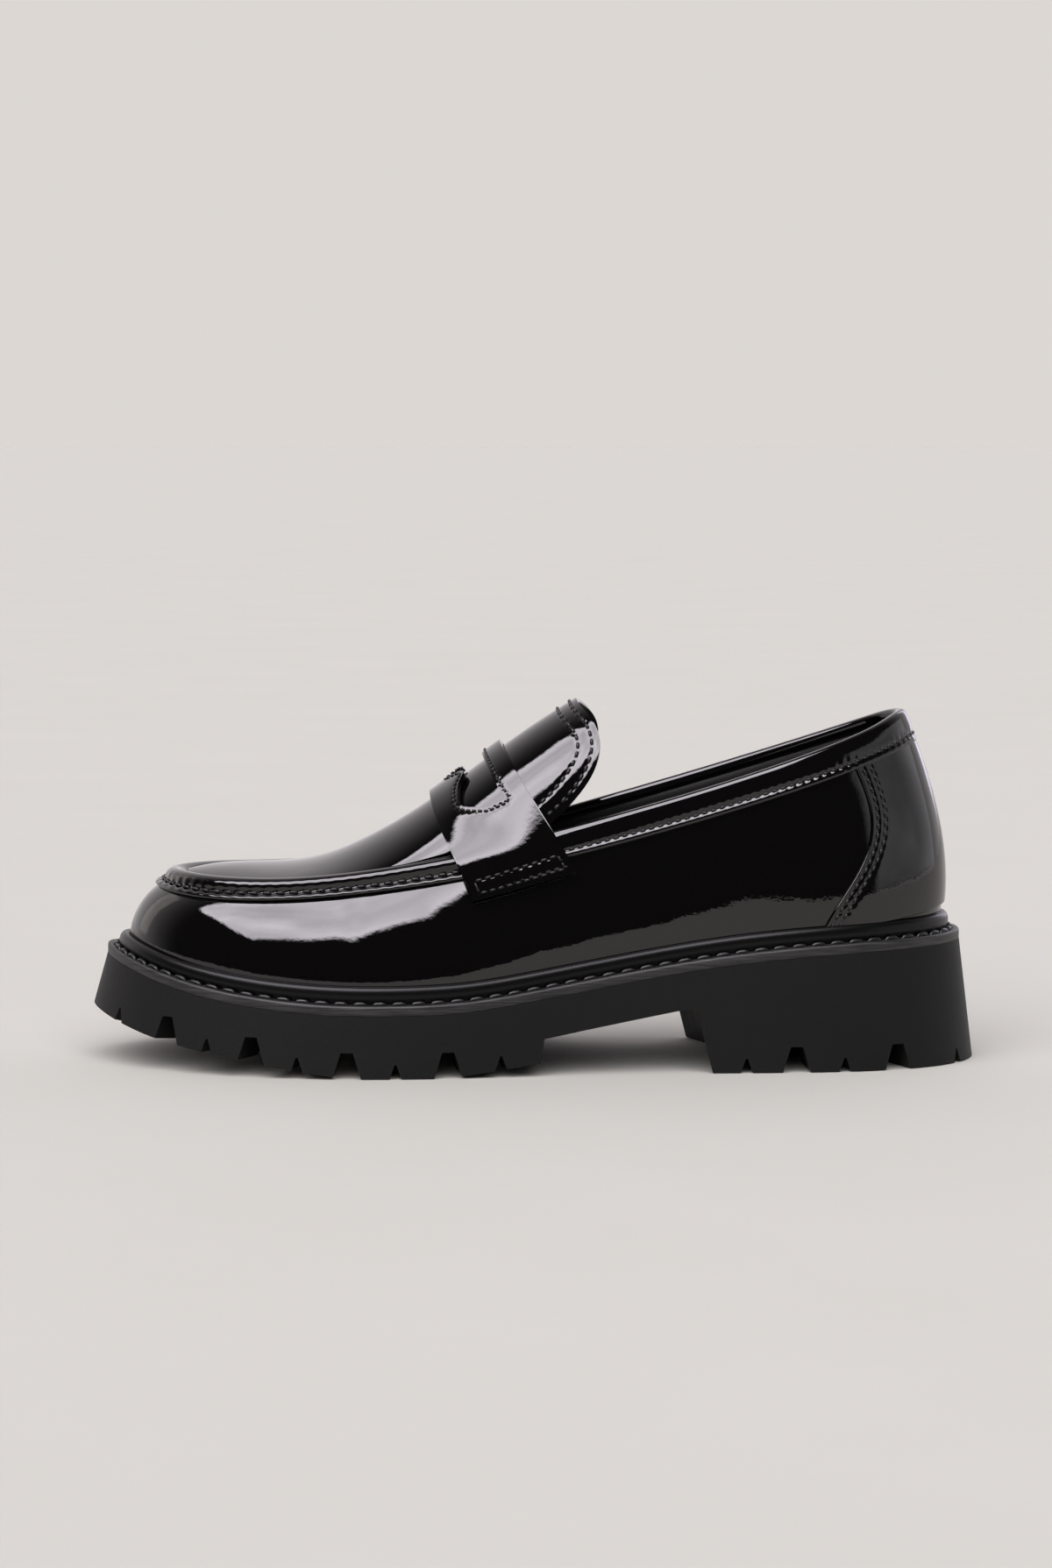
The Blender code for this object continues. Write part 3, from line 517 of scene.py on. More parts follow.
def wall(shares, heights):
    """The upper's outer face at shares of the way round and, for each, one or more shares of the way up."""
    start, rim = on_welt(shares, WELT_TO_UPPER, GAP), RIM(shares)
    belly_out, belly_up, shoulder_in, shoulder_up = (f(OUTLINE(shares)[:, 0]) for f in wall_columns)
    rise = rim[:, 2] - start[:, 2]
    out = outline_normal(shares) * belly_out[:, None]
    belly = np.column_stack([start[:, :2] + out, start[:, 2] + rise * belly_up])
    shoulder = start + (rim - start) * shoulder_in[:, None]
    shoulder[:, 2] = start[:, 2] + rise * shoulder_up
    t = np.atleast_2d(np.asarray(heights, float))[..., None]
    corners = [corner[:, None, :] for corner in (start, belly, shoulder, rim)]
    weights = ((1 - t) ** 3, 3 * (1 - t) ** 2 * t, 3 * (1 - t) * t**2, t**3)
    return sum(weight * corner for weight, corner in zip(weights, corners))


def wall_with_normals(shares, heights):
    """The wall and its outward normals."""
    heights = np.atleast_2d(np.asarray(heights, float))
    along = wall(shares + NUDGE, heights) - wall(shares - NUDGE, heights)
    up = wall(shares, heights + NUDGE) - wall(shares, heights - NUDGE)
    return wall(shares, heights), unit(np.cross(along, up))


def ring_shares(count):
    """Shares of the way round, evenly spaced from the toe on each side of the shoe."""
    half = count // 2
    return np.concatenate([np.linspace(0, HEEL, half + 1), np.linspace(HEEL, 1, half + 1)[1:-1]])


# ---- Meshes


def grid_faces(rows, columns, ring=False, tube=False, skip=None):
    """Faces over a grid of points that may close along its rows, its columns or both."""
    faces = []
    for i in range(rows if ring else rows - 1):
        for k in range(columns if tube else columns - 1):
            if skip is None or not skip(i, k):
                a, b = i, (i + 1) % rows
                c, d = k, (k + 1) % columns
                faces.append((a * columns + c, b * columns + c, b * columns + d, a * columns + d))
    return faces


def capped_tube(base, rows, corners):
    """Faces of a tube whose points are numbered from a base, closed at both ends."""
    faces = grid_faces(rows, corners, tube=True)
    faces += [tuple(range(corners)), tuple((rows - 1) * corners + k for k in reversed(range(corners)))]
    return [tuple(base + v for v in face) for face in faces]


def new_object(name, data):
    """An object that shows its data in the scene."""
    item = bpy.data.objects.new(name, data)
    bpy.context.scene.collection.objects.link(item)
    return item


def new_mesh(name, points, faces):
    """A mesh in metres from points in millimetres."""
    mesh = bpy.data.meshes.new(name)
    mesh.from_pydata([tuple(p) for p in np.asarray(points, float) * MM], [], faces)
    return mesh


def soften(item, radius, angle):
    """Rounds the edges of a mesh that turn by more than an angle."""
    edge = item.modifiers.new("soft_edge", "BEVEL")
    edge.width = radius * MM
    edge.segments = 3
    edge.limit_method = "ANGLE"
    edge.angle_limit = np.radians(angle)


def piece(name, points, faces, finishes, node=None, face_finish=None, edge=0.0):
    """A piece that rides on the shoe, with its finishes. It may stand for a node of the frame."""
    mesh = new_mesh(name, points, faces)
    mesh.update()
    mesh.shade_smooth()
    for each in finishes:
        mesh.materials.append(each)
    if face_finish is not None:
        mesh.polygons.foreach_set("material_index", face_finish)
    item = new_object(name, mesh)
    if edge:
        soften(item, edge, CUT_EDGE_ANGLE)
    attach(item, "root")
    if node:
        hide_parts(node)


def ring_piece(name, points, finishes, node, face_finish=None):
    """A piece that runs right round the shoe, from a grid of points with a closed section in each row."""
    faces = grid_faces(*points.shape[:2], ring=True, tube=True)
    piece(name, points.reshape(-1, 3), faces, finishes, node, face_finish)


def thicken(points, normals, faces, thickness):
    """A surface given its thickness: the outer points and faces, the inner ones, and the cut edge between."""
    count = len(points)
    edges = {(a, b) for face in faces for a, b in zip(face, face[1:] + face[:1])}
    cut = [(b, a, a + count, b + count) for a, b in edges if (b, a) not in edges]
    inner = [tuple(v + count for v in reversed(face)) for face in faces]
    return np.concatenate([points + normals * thickness, points]), faces + inner + sorted(cut)


def stitch_bed(points, normals, rows):
    """Pulls a surface down along its rows of stitches, a little deeper where each stitch enters the leather."""
    tree = KDTree(sum(len(row) * 4 for row, _ in rows))
    pull = []
    for row, pitch in rows:
        along = lengths(row)
        fine = np.linspace(0, along[-1], len(row) * 4)
        for k, place in enumerate(read_off(fine, along, row)):
            tree.insert(tuple(place), len(pull) + k)
        pitch = along[-1] / max(1, round(along[-1] / pitch))
        pull += list(1 - BED_WAVE + BED_WAVE * np.cos(2 * np.pi * fine / pitch))
    tree.balance()
    sunk = np.array(points)
    for i, point in enumerate(points):
        _, nearest, distance = tree.find(tuple(point))
        if distance < 3 * BED_WIDTH:
            sunk[i] -= normals[i] * BED_DEPTH * pull[nearest] * np.exp(-((distance / BED_WIDTH) ** 2))
    return sunk


def sew(name, path, normals, pitch, radius, thread, share=STITCH, sunk=0.0):
    """A row of stitches along a path: short bowed lengths of thread whose ends dive into the leather."""
    along = lengths(path)
    count = max(1, int(round(along[-1] / pitch)))
    pitch = along[-1] / count
    bends, sides = STITCH_BENDS, STITCH_SIDES
    u = np.linspace(-1, 1, bends)
    turn = np.arange(sides)[None, :, None] * 2 * np.pi / sides
    points, faces = [], []
    for i in range(count):
        where = (i + 0.5 + u * share / 2) * pitch
        middle = read_off(where, along, path)
        up = unit(read_off(where, along, normals))
        ahead = unit(np.gradient(middle, axis=0))
        aside = unit(np.cross(ahead, up))
        middle = middle + up * (radius * (STITCH_RISES - STITCH_DIVES * u**4) - sunk)[:, None]
        thick = radius * (1 - STITCH_TAPERS * np.abs(u) ** 5)
        ring = np.cos(turn) * aside[:, None, :] + np.sin(turn) * up[:, None, :]
        faces += capped_tube(len(points) * bends * sides, bends, sides)
        points.append((middle[:, None, :] + thick[:, None, None] * ring).reshape(-1, 3))
    piece(name, np.concatenate(points), faces, [thread])


def sewn_sheet(name, node, sheet, thickness, finishes, seams, **stitch):
    """A leather sheet raised to its thickness, with its seams' beds and thread. A second finish goes underneath."""
    points, normals, faces = sheet
    normals = normals.reshape(-1, 3)
    count = len(normals)
    solid, all_faces = thicken(points.reshape(-1, 3), normals, faces, thickness)
    solid[:count] = stitch_bed(solid[:count], normals, [(path, pitch) for _, path, _, pitch in seams])
    under = [len(finishes) - 1 if len(faces) <= i < 2 * len(faces) else 0 for i in range(len(all_faces))]
    used = sorted({v for face in all_faces for v in face})
    number = {v: i for i, v in enumerate(used)}
    all_faces = [tuple(number[v] for v in face) for face in all_faces]
    piece(name, solid[used], all_faces, finishes, node, under, CUT_EDGE[node])
    for row, path, up, pitch in seams:
        sew(row, path, up, pitch, **stitch)


# ---- Leather pieces


def creases(points):
    """How deep the flex creases sink the wall: each is a soft dent along a line seen from the side."""
    depth = np.zeros(points.shape[:-1])
    for side, x0, z0, x1, z1, width, sunk in CREASES:
        start, along = np.array([x0, z0]), np.array([x1 - x0, z1 - z0])
        seen = points[..., [0, 2]] - start
        share = np.clip(seen @ along / (along @ along), 0, 1)
        away = np.linalg.norm(seen - share[..., None] * along, axis=-1)
        fade = np.sin(np.pi * np.clip(share, 0.04, 0.96)) ** 0.5
        depth += sunk * fade * np.exp(-((away / width) ** 2)) * (np.sign(points[..., 1]) == side)
    return depth


def make_upper(leather, lining):
    """Vamp and quarters: the glossy wall, its cut top edge and the lining inside."""
    shares = ring_shares(WALL_POINTS)
    outer, normal = wall_with_normals(shares, np.linspace(0, 1, WALL_ROWS))
    outer = outer - normal * creases(outer)[..., None]
    inner_at = list(range(WALL_ROWS - 1, -1, -LINING_STEP))
    inner = outer[:, inner_at] - normal[:, inner_at] * WALL_THICK
    inner[:, -1, :2] = outer[:, 0, :2] - outline_normal(shares) * WALL_THICK
    inner[:, -1, 2] = outer[:, 0, 2]
    points = np.concatenate([outer, inner], axis=1)
    lined = [0 if k < WALL_ROWS else 1 for _ in shares for k in range(points.shape[1])]
    ring_piece("patent_upper", points, [leather, lining], "upper", lined)


def strip_width_at(shares):
    """The strip's width at shares of the way round, as a column."""
    return strip_width(stepped(shares, WELT_TO_UPPER)[:, :1])


def up_the_wall(shares, rise):
    """Shares of the way up the wall at distances up from the strip's lower edge, and their way to the rim."""
    fine = np.linspace(0.2, 1.0, 161)
    steps = np.linalg.norm(np.diff(wall(shares, fine), axis=1), axis=2)
    below = np.concatenate([np.cumsum(steps[:, ::-1], axis=1)[:, ::-1], np.zeros((len(shares), 1))], axis=1)
    under = strip_width_at(shares) - rise
    return np.array([np.interp(-np.maximum(u, 0), -b, fine) for u, b in zip(under, below)]), under


def strip_lip(shares):
    """The share of the way up the wall at which the strip's lower edge lies."""
    return up_the_wall(shares, 0.0)[0][:, 0]


def on_strip(shares, rise, height):
    """Points at distances up from the strip's lower edge and heights above the wall, and the wall's normals."""
    up, under = up_the_wall(shares, rise)
    base, normal = wall_with_normals(shares, up)
    slope = wall(shares, 1.0) - wall(shares, 0.99)
    over = unit(slope) * np.maximum(-under, 0)[..., None]
    return base + over + normal * height[..., None], normal


def roll_to_band(shares, roll, band):
    """A value that is the roll's in front and turns into the band's behind, with a row for each share."""
    mix = smooth_step(ROLL_ENDS, BAND_STARTS, stepped(shares, WELT_TO_UPPER)[:, :1])
    return roll * (1 - mix) + band * mix


def sewn_channel(shares):
    """How far up from the strip's lower edge its stitches run."""
    return roll_to_band(shares, SEW_ROLL, SEW_BAND) * strip_width_at(shares)


def strip_profile(shares):
    """The strip's section at each share: how far up from its lower edge, and the height above the wall."""
    sections = (smooth_section(rows, STRIP_SIDES) for rows in (ROLL_SECTION, BAND_SECTION))
    share, further, height = (roll_to_band(shares, roll, band) for roll, band in zip(*sections))
    return share * strip_width_at(shares) + further, height


def strip_lengths(shares):
    """How far along its seam each share of the strip is, as a column."""
    seam, _ = strip_seam(np.append(shares, 1.0))
    return lengths(seam)[:-1, None]


def pucker(shares, rise):
    """How the stitches pull the strip down between low swells, strongest beside the sewn channel."""
    along = strip_lengths(shares)
    near = np.exp(-(((rise - sewn_channel(shares)) / PUCKER_REACH) ** 2))
    roll = PUCKER_ROLL * np.cos(2 * np.pi * along / ROLL_PITCH)
    band = PUCKER_BAND * np.cos(2 * np.pi * along / FINE_PITCH)
    return near * roll_to_band(shares, roll, band)


def make_strip(leather):
    """The rolled seam round the apron and the folded band round the collar, in one run of leather."""
    shares = ring_shares(STRIP_POINTS)
    rise, height = strip_profile(shares)
    points, _ = on_strip(shares, rise, height + pucker(shares, rise))
    ring_piece("rolled_seam_and_collar", points, [leather], "collar_strip")


def strip_seam(shares):
    """The path of the stitches along the strip's sewn channel, and its normals."""
    height = roll_to_band(shares, SEW_HEIGHT_ROLL, SEW_HEIGHT_BAND)
    points, normal = on_strip(shares, sewn_channel(shares), height)
    return points[:, 0], normal[:, 0]


def rim_points(x):
    """The rim on the outer and the inner side at an x, as two arrays of points."""
    rims = (RIM(np.linspace(first, HEEL, RIM_POINTS)) for first in (0.0, 1.0 - 1e-6))
    return [read_off(x, rim[:, 0], rim) for rim in rims]


def apron(x, share):
    """The outer face of the apron and tongue at an x on their ridge line and a share across, from -1 to 1."""
    x = np.asarray(x, float)
    share = np.asarray(share, float)
    outer, inner = rim_points(x + apron_lean(x))
    middle = (outer + inner) / 2
    ridge = np.stack([x, middle[..., 1], apron_height(x)], axis=-1)
    tucked = 1 - (1 - APRON_SHARE) * smooth_step(*APRON_FREE, x)
    lift = np.maximum(1 - np.abs(share / tucked) ** width_power(x), 0) ** (1 / arch_power(x))
    return middle + (inner - outer) / 2 * share[..., None] + (ridge - middle) * lift[..., None]


def apron_normal(x, share):
    """Outward normals of the apron."""
    ahead, aside = 0.2, 0.004
    along = apron(x + ahead, share) - apron(x - ahead, share)
    across = apron(x, np.clip(share + aside, -1, 1)) - apron(x, np.clip(share - aside, -1, 1))
    return unit(np.cross(along, across))


def tongue_end(across):
    """How far forward of the tongue's tip its edge lies: nearly straight, with round corners."""
    across = np.minimum(np.abs(across), 1.0)
    swell = TONGUE_SWELL * np.sin(np.pi * across**TONGUE_SWELL_OUT) ** 2
    return TONGUE_CORNER * across**TONGUE_SQUARE - swell


def make_apron(leather, lining, thread):
    """The moccasin apron and the tongue, one sheet of leather with a lining under it and two rows of stitches."""
    across = np.sin(np.linspace(-1, 1, APRON_COLUMNS) * np.pi / 2)
    start = APRON_LINE[0][0] + APRON_START
    end = TONGUE_TIP - tongue_end(across)
    # the stations are closest where the tongue is sewn
    x = start + (end[None, :] - start) * (np.linspace(0, 1, APRON_ROWS) ** 0.75)[:, None]
    share = np.broadcast_to(across * APRON_SHARE, x.shape)
    normals = apron_normal(x, share)
    sheet = (apron(x, share) - normals * APRON_THICK, normals, grid_faces(*x.shape))
    stitch = {"radius": TONGUE_THREAD, "thread": thread, "share": LONG_STITCH, "sunk": TONGUE_SUNK}
    sewn_sheet("apron_and_tongue", "apron", sheet, APRON_THICK, [leather, lining], tongue_seams(), **stitch)


def body_lines():
    """Lines along the outside of upper, strip and apron, in order round the girth from outer to inner side."""
    lines = []
    up = np.linspace(0, 1, 7)
    outer = np.linspace(BODY_FRONT, HEEL * BODY_BACK, BODY_POINTS)
    inner = np.linspace(1 - BODY_FRONT, 1 - (1 - HEEL) * BODY_BACK, BODY_POINTS)
    for shares in (outer, inner):
        rise = strip_lip(shares) - BODY_UNDER_STRIP - BODY_FOOT
        under, _ = wall_with_normals(shares, BODY_FOOT + np.linspace(0, 1, 8) * rise[:, None])
        swell = np.sin(np.pi * np.clip((up - BODY_ROLL_STARTS) / (1 - BODY_ROLL_STARTS), 0, 1)) ** 0.8
        height = GAP + BODY_STANDS + roll_to_band(shares, BODY_ROLL, BODY_BAND) * swell
        over, _ = on_strip(shares, up * strip_width_at(shares), height)
        lines.append(np.concatenate([under, over], axis=1).transpose(1, 0, 2))
    x = np.linspace(BODY_APRON, TONGUE_TIP, BODY_POINTS)
    over = [apron(x, np.full_like(x, share)) for share in np.sin(np.linspace(-1, 1, 25) * np.pi / 2)[1:-1]]
    return list(lines[0]) + over + list(lines[1][::-1])


def girth(lines, share):
    """The taut line over the shoe at a share of the strap's width: where its sheet meets the body, bridged."""
    points = []
    for line in lines:
        front, rear = strap_front(line[:, 2]), strap_rear(line[:, 2])
        side = line[:, 0] - (front + (rear - front) * (share + 1) / 2)
        where = np.nonzero(np.diff(np.sign(side)))[0]
        if len(where):
            i = where[0]
            points.append(line[i] + (line[i + 1] - line[i]) * side[i] / (side[i] - side[i + 1]))
    points = np.array(points)
    taut = [0]
    while taut[-1] != len(points) - 1:
        ahead = points[taut[-1] + 1 :, 1:] - points[taut[-1], 1:]
        angle = np.arctan2(ahead[:, 1], ahead[:, 0])
        taut.append(taut[-1] + 1 + int(np.nonzero(angle == angle.max())[0][-1]))
    return points[taut]


def strap_surface():
    """The strap's underside as a fine smooth grid with its normals: rows across its width, columns round it."""
    lines = body_lines()
    grid = []
    for share in np.linspace(-1, 1, STRAP_ROWS):
        line = girth(lines, share)
        end = STRAP_END_FRONT + (STRAP_END_REAR - STRAP_END_FRONT) * (share + 1) / 2
        length = lengths(line)
        fine = np.linspace(0, length[-1], STRAP_LINE)
        dense = read_off(fine, length, line)
        peak = np.argmax(dense[:, 2])
        first = np.interp(end, dense[:peak, 2], fine[:peak])
        last = np.interp(-end, -dense[peak:, 2], fine[peak:])
        middle = fine[np.argmin(np.abs(dense[:, 1] - (dense[0, 1] + dense[-1, 1]) / 2))]
        half = STRAP_COLUMNS // 2
        where = np.concatenate([np.linspace(first, middle, half + 1), np.linspace(middle, last, half + 1)[1:]])
        grid.append(read_off(where, fine, dense))
    grid = np.array(grid)
    for _ in range(STRAP_SMOOTHED[0]):
        grid[:, 1:-1] = (grid[:, :-2] + 2 * grid[:, 1:-1] + grid[:, 2:]) / 4
    for _ in range(STRAP_SMOOTHED[1]):
        grid[1:-1] = (grid[:-2] + 2 * grid[1:-1] + grid[2:]) / 4
    for axis in (0, 1):
        knots = np.arange(grid.shape[axis], dtype=float)
        fine = np.linspace(0, knots[-1], int(knots[-1]) * STRAP_FINE + 1)
        turned = np.moveaxis(grid, axis, 0).reshape(len(knots), -1)
        finer = np.stack([cubic(knots, column)(fine) for column in turned.T], axis=1)
        shape = list(np.moveaxis(grid, axis, 0).shape)
        shape[0] = len(fine)
        grid = np.moveaxis(finer.reshape(shape), 0, axis)
    normal = unit(np.cross(np.gradient(grid, axis=0), np.gradient(grid, axis=1)))
    return grid + normal * STRAP_CLEAR, normal


class Strap:
    """The strap's surface, addressed by a share of its width and the distance from its middle."""

    def __init__(self):
        self.grid, self.normal = strap_surface()
        middle = self.grid[self.grid.shape[0] // 2]
        along = lengths(middle)
        self.along = along - along[len(along) // 2]
        self.first, self.last = self.along[0], self.along[-1]
        self.width = lengths(self.grid[:, self.grid.shape[1] // 2])[-1]

    def at(self, share, distance):
        """Points and normals on the underside."""
        row = (np.asarray(share, float) + 1) / 2 * (self.grid.shape[0] - 1)
        column = np.interp(distance, self.along, np.arange(len(self.along)))
        r = np.clip(row.astype(int), 0, self.grid.shape[0] - 2)
        c = np.clip(column.astype(int), 0, self.grid.shape[1] - 2)
        a, b = (row - r)[..., None], (column - c)[..., None]
        found = []
        for field in (self.grid, self.normal):
            low = field[r, c] * (1 - b) + field[r, c + 1] * b
            high = field[r + 1, c] * (1 - b) + field[r + 1, c + 1] * b
            found.append(low * (1 - a) + high * a)
        return found[0], unit(found[1])


def strap_seams(strap):
    """The strap's seams: a closed box at each end, and a row that follows the cut-out's edge."""
    half = strap.width / 2
    side = half - BOX_SIDE
    seams = []

    def seam(name, across, distance, pitch=FINE_PITCH):
        points, up = strap.at(np.asarray(across) / half, np.asarray(distance))
        seams.append((name, points + up * STRAP_THICK, up, pitch))

    for name, end, turn in (("outer", strap.first, 1), ("inner", strap.last, -1)):
        for row in BOX_ROWS:
            seam(f"strap_box_{name}_{int(row)}", np.linspace(-side, side, 60), np.full(60, end + turn * row))
        for place in (-side, side):
            where = end + turn * np.linspace(*BOX_ROWS, 20)
            seam(f"strap_box_{name}_{'front' if place < 0 else 'rear'}", np.full(20, place), where)
    v = np.sin(np.linspace(-1, 1, 161) * np.pi / 2) * SLOT_END
    near = np.abs(v)
    edge = np.concatenate([np.stack([slot_front(near) * half, v], 1), np.stack([slot_rear(near) * half, v], 1)[::-1]])
    edge = np.concatenate([np.linspace(a, b, 5)[:-1] for a, b in zip(edge, np.roll(edge, -1, axis=0))])
    tangent = unit(np.roll(edge, -2, axis=0) - np.roll(edge, 2, axis=0))
    row = edge + np.stack([-tangent[:, 1], tangent[:, 0]], axis=1) * SLOT_MARGIN
    clear = [np.min(np.hypot(*(edge - point).T)) > SLOT_MARGIN * 0.93 for point in row]
    row = np.concatenate([row[clear], row[clear][:1]])
    seam("cut_out_stitches", row[:, 0], row[:, 1], SLOT_PITCH)
    return seams


def make_strap(leather, thread):
    """The saddle strap, whose leather is laid out in columns that follow the cut-out's edges."""
    strap = Strap()
    inside = np.sin(np.linspace(-1, 1, 121) * np.pi / 2) * SLOT_END
    before = np.linspace(strap.first, -SLOT_END, 81)[:-1]
    after = np.linspace(SLOT_END, strap.last, 81)[1:]
    place = np.concatenate([before, inside, after])
    near = np.minimum(np.abs(place), SLOT_END)
    edges = (np.full_like(near, -1.0), slot_front(near), slot_rear(near), np.ones_like(near))
    steps = np.linspace(0, 1, STRAP_BLOCK + 1)[1:]
    share = np.array([edges[0]] + [a + (b - a) * step for a, b in zip(edges, edges[1:]) for step in steps])
    points, normals = strap.at(share, np.broadcast_to(place, share.shape))

    def in_slot(i, k):
        return STRAP_BLOCK <= i < 2 * STRAP_BLOCK and len(before) <= k < len(before) + len(inside) - 1

    sheet = (points, normals, grid_faces(*share.shape, skip=in_slot))
    stitch = {"radius": STRAP_THREAD, "thread": thread, "share": LONG_STITCH, "sunk": THREAD_SUNK}
    sewn_sheet("penny_strap", "saddle_strap", sheet, STRAP_THICK, [leather], strap_seams(strap), **stitch)


def tongue_seams():
    """Two rows of stitches that follow the edge of the tongue, set in from it by their margins."""
    share = np.linspace(-APRON_SHARE, APRON_SHARE, 400)
    end = np.stack([TONGUE_TIP - tongue_end(share / APRON_SHARE), share], axis=1)
    side = np.linspace(TONGUE_HIDDEN, end[0, 0], 80)[:-1]
    near, far = (np.stack([side, np.full_like(side, edge)], axis=1) for edge in (-APRON_SHARE, APRON_SHARE))
    rim = np.concatenate([near, end, far[::-1]])
    edge = apron(rim[:, 0], rim[:, 1])
    centre = np.array([TONGUE_HIDDEN - 6.0, 0.0])
    reach = np.linspace(0.5, 1, 90)
    seams = []
    for margin in TONGUE_MARGINS:
        places = []
        for target in rim[::4]:
            ray = centre + (target - centre) * reach[:, None]
            gap = np.min(np.linalg.norm(apron(*ray.T)[:, None] - edge[None], axis=2), axis=1)
            places.append(centre + (target - centre) * np.interp(-margin, -gap, reach))
        x, across = np.array(places).T
        name = f"tongue_stitches_{int(margin * 10)}"
        seams.append((name, apron(x, across), apron_normal(x, across), TONGUE_PITCH))
    return seams


def counter_places(count):
    """The shares round and up of the heel counter's points, in as many rows as there are on each side of the heel."""
    sides = []
    for first in (0.3, 0.7):
        shares = np.linspace(first, HEEL, 160)
        order = np.argsort(shares)
        lip = strip_lip(shares)
        rows = []
        for level in np.linspace(0, 1, count):
            t = COUNTER_FOOT + (lip + COUNTER_TUCK - COUNTER_FOOT) * level
            path = wall(shares, t[:, None])[:, 0]
            start = np.interp(0.0, path[:, 0] - counter_edge(path[:, 2]), shares)
            here = start + (HEEL - start) * np.linspace(0, 1, count)
            rows.append(np.stack([here, np.interp(here, shares[order], t[order])], axis=-1))
        sides.append(np.array(rows))
    outer, inner = sides
    return np.concatenate([outer, inner[:, ::-1][:, 1:]], axis=1)


def at_places(places):
    """Points and normals of the wall at a grid of shares round and up."""
    flat = places.reshape(-1, 2)
    found = wall_with_normals(flat[:, 0], flat[:, 1:2])
    return [field[:, 0].reshape(places.shape[:-1] + (3,)) for field in found]


def counter_seams(points, normals):
    """Two rows of stitches behind each front edge of the heel counter, set in from it by their margins."""
    seams = []
    shown = slice(0, -COUNTER_HIDDEN)
    for side, step in (("outer", 1), ("inner", -1)):
        for row, inset in COUNTER_ROWS:
            path, up = [], []
            for line, lift in zip(points[shown, ::step], normals[shown, ::step]):
                along = lengths(line)
                path.append(read_off(inset, along, line))
                up.append(read_off(inset, along, lift))
            up = unit(np.array(up))
            seams.append((f"counter_stitches_{side}_{row}", np.array(path) + up * COUNTER_THICK, up, FINE_PITCH))
    return seams


def make_counter(leather, thread):
    """The heel counter and the two rows of stitches that hold its front edges."""
    places = counter_places(COUNTER_POINTS)
    points, normals = at_places(places)
    points = points + normals * COUNTER_CLEAR
    sheet = (points, normals, [tuple(reversed(face)) for face in grid_faces(*places.shape[:2])])
    stitch = {"radius": COUNTER_THREAD, "thread": thread, "sunk": THREAD_SUNK}
    seams = counter_seams(points, normals)
    sewn_sheet("heel_counter_cover", "heel_counter", sheet, COUNTER_THICK, [leather], seams, **stitch)


# ---- The sole


def tread(x):
    """Height of the tread: the forefoot's rocker, level with the floor under the ball and the heel."""
    return np.where(np.asarray(x) > HEEL_TREAD, 0.0, np.maximum(0.0, tread_curve(x)))


def prism(points, faces, profiles):
    """Adds to a mesh a closed prism through a row of profiles that have the same number of corners."""
    profiles = np.asarray(profiles, float)
    faces += capped_tube(len(points), *profiles.shape[:2])
    points.extend(profiles.reshape(-1, 3))


def side_share(x, side):
    """The share of the way round at which a side of the outline crosses an x."""
    shares = np.linspace(0 if side < 0 else 1, HEEL, 800)
    return np.interp(x, OUTLINE(shares)[:, 0], shares)


def groove(x, side, half_floor, half_root, depth):
    """The profiles of a tapered groove cut square to the sole's edge."""
    share = np.array([side_share(x, side)])
    edge, normal = OUTLINE(share)[0], outline_normal(share)[0]
    beside = np.array([-normal[1], normal[0]])
    wide, low = GROOVE_OVERCUT[0] * half_floor, -GROOVE_OVERCUT[1] * depth
    section = ((-wide, low), (wide, low), (half_root, depth), (-half_root, depth))
    profiles = []
    for along in GROOVE_REACH:
        middle = edge + normal * along
        floor = float(tread(middle[0]))
        profiles.append([(*(middle + beside * across), floor + height) for across, height in section])
    return profiles


def shank_space():
    """The profiles of the space under the arch, closed at the back by the heel's curved, drafted breast."""
    profiles = []
    for share in np.linspace(-1.35, 1.35, PROFILES):
        side = BREAST_OUTER if share < 0 else BREAST_INNER
        breast = BREAST_MIDDLE + (side - BREAST_MIDDLE) * share * share
        ceiling = SHANK_FRONT + SHANK_RISE * (breast - FOREFOOT_END)
        section = (
            # x, height
            (FOREFOOT_END - 2.0, CUT_FROM),
            (FOREFOOT_END + 0.6, SHANK_FRONT),
            (breast - 2.0, ceiling - 0.4),
            (breast, ceiling - 2.4),
            (breast, ceiling - 7.0),
            (breast + BREAST_DRAFT, CUT_FROM),
        )
        profiles.append([(x, share * SOLE_HALF, height) for x, height in section])
    return profiles


def tread_recess(first, last):
    """The profiles of the sunken middle of the tread between the edge lugs, from one x to another."""
    profiles = []
    for x in np.linspace(first, last, PROFILES):
        near = OUTLINE(side_share(x, -1))[1] + LUG_LENGTH
        far = OUTLINE(side_share(x, 1))[1] - LUG_LENGTH
        root = float(tread(x)) + TREAD_RECESS
        profiles.append([(x, near, CUT_FROM), (x, far, CUT_FROM), (x, far - 1.0, root), (x, near + 1.0, root)])
    return profiles


def cross_lug(points, faces, x, y):
    """Adds a cross-shaped lug in the sunken middle of the tread, a little drafted."""
    arm, half = CROSS_ARM, CROSS_HALF_WIDTH
    corners = [(half, half), (half, arm), (-half, arm), (-half, half), (-arm, half), (-arm, -half)]
    corners += [(-half, -half), (-half, -arm), (half, -arm), (half, -half), (arm, -half), (arm, half)]
    base, count = len(points), len(corners)
    for grow, lift in ((1.0, 0.0), (CROSS_DRAFT, TREAD_RECESS + 1.5)):
        points += [(x + dx * grow, y + dy * grow, float(tread(x + dx)) + lift) for dx, dy in corners]
    faces += [tuple(base + v for v in (i, (i + 1) % count, count + (i + 1) % count, count + i)) for i in range(count)]
    arms = [(0, 1, 2, 3), (3, 4, 5, 6), (6, 7, 8, 9), (9, 10, 11, 0), (0, 3, 6, 9)]
    faces += [tuple(base + v for v in face) for face in arms]
    faces += [tuple(base + count + v for v in reversed(face)) for face in arms]


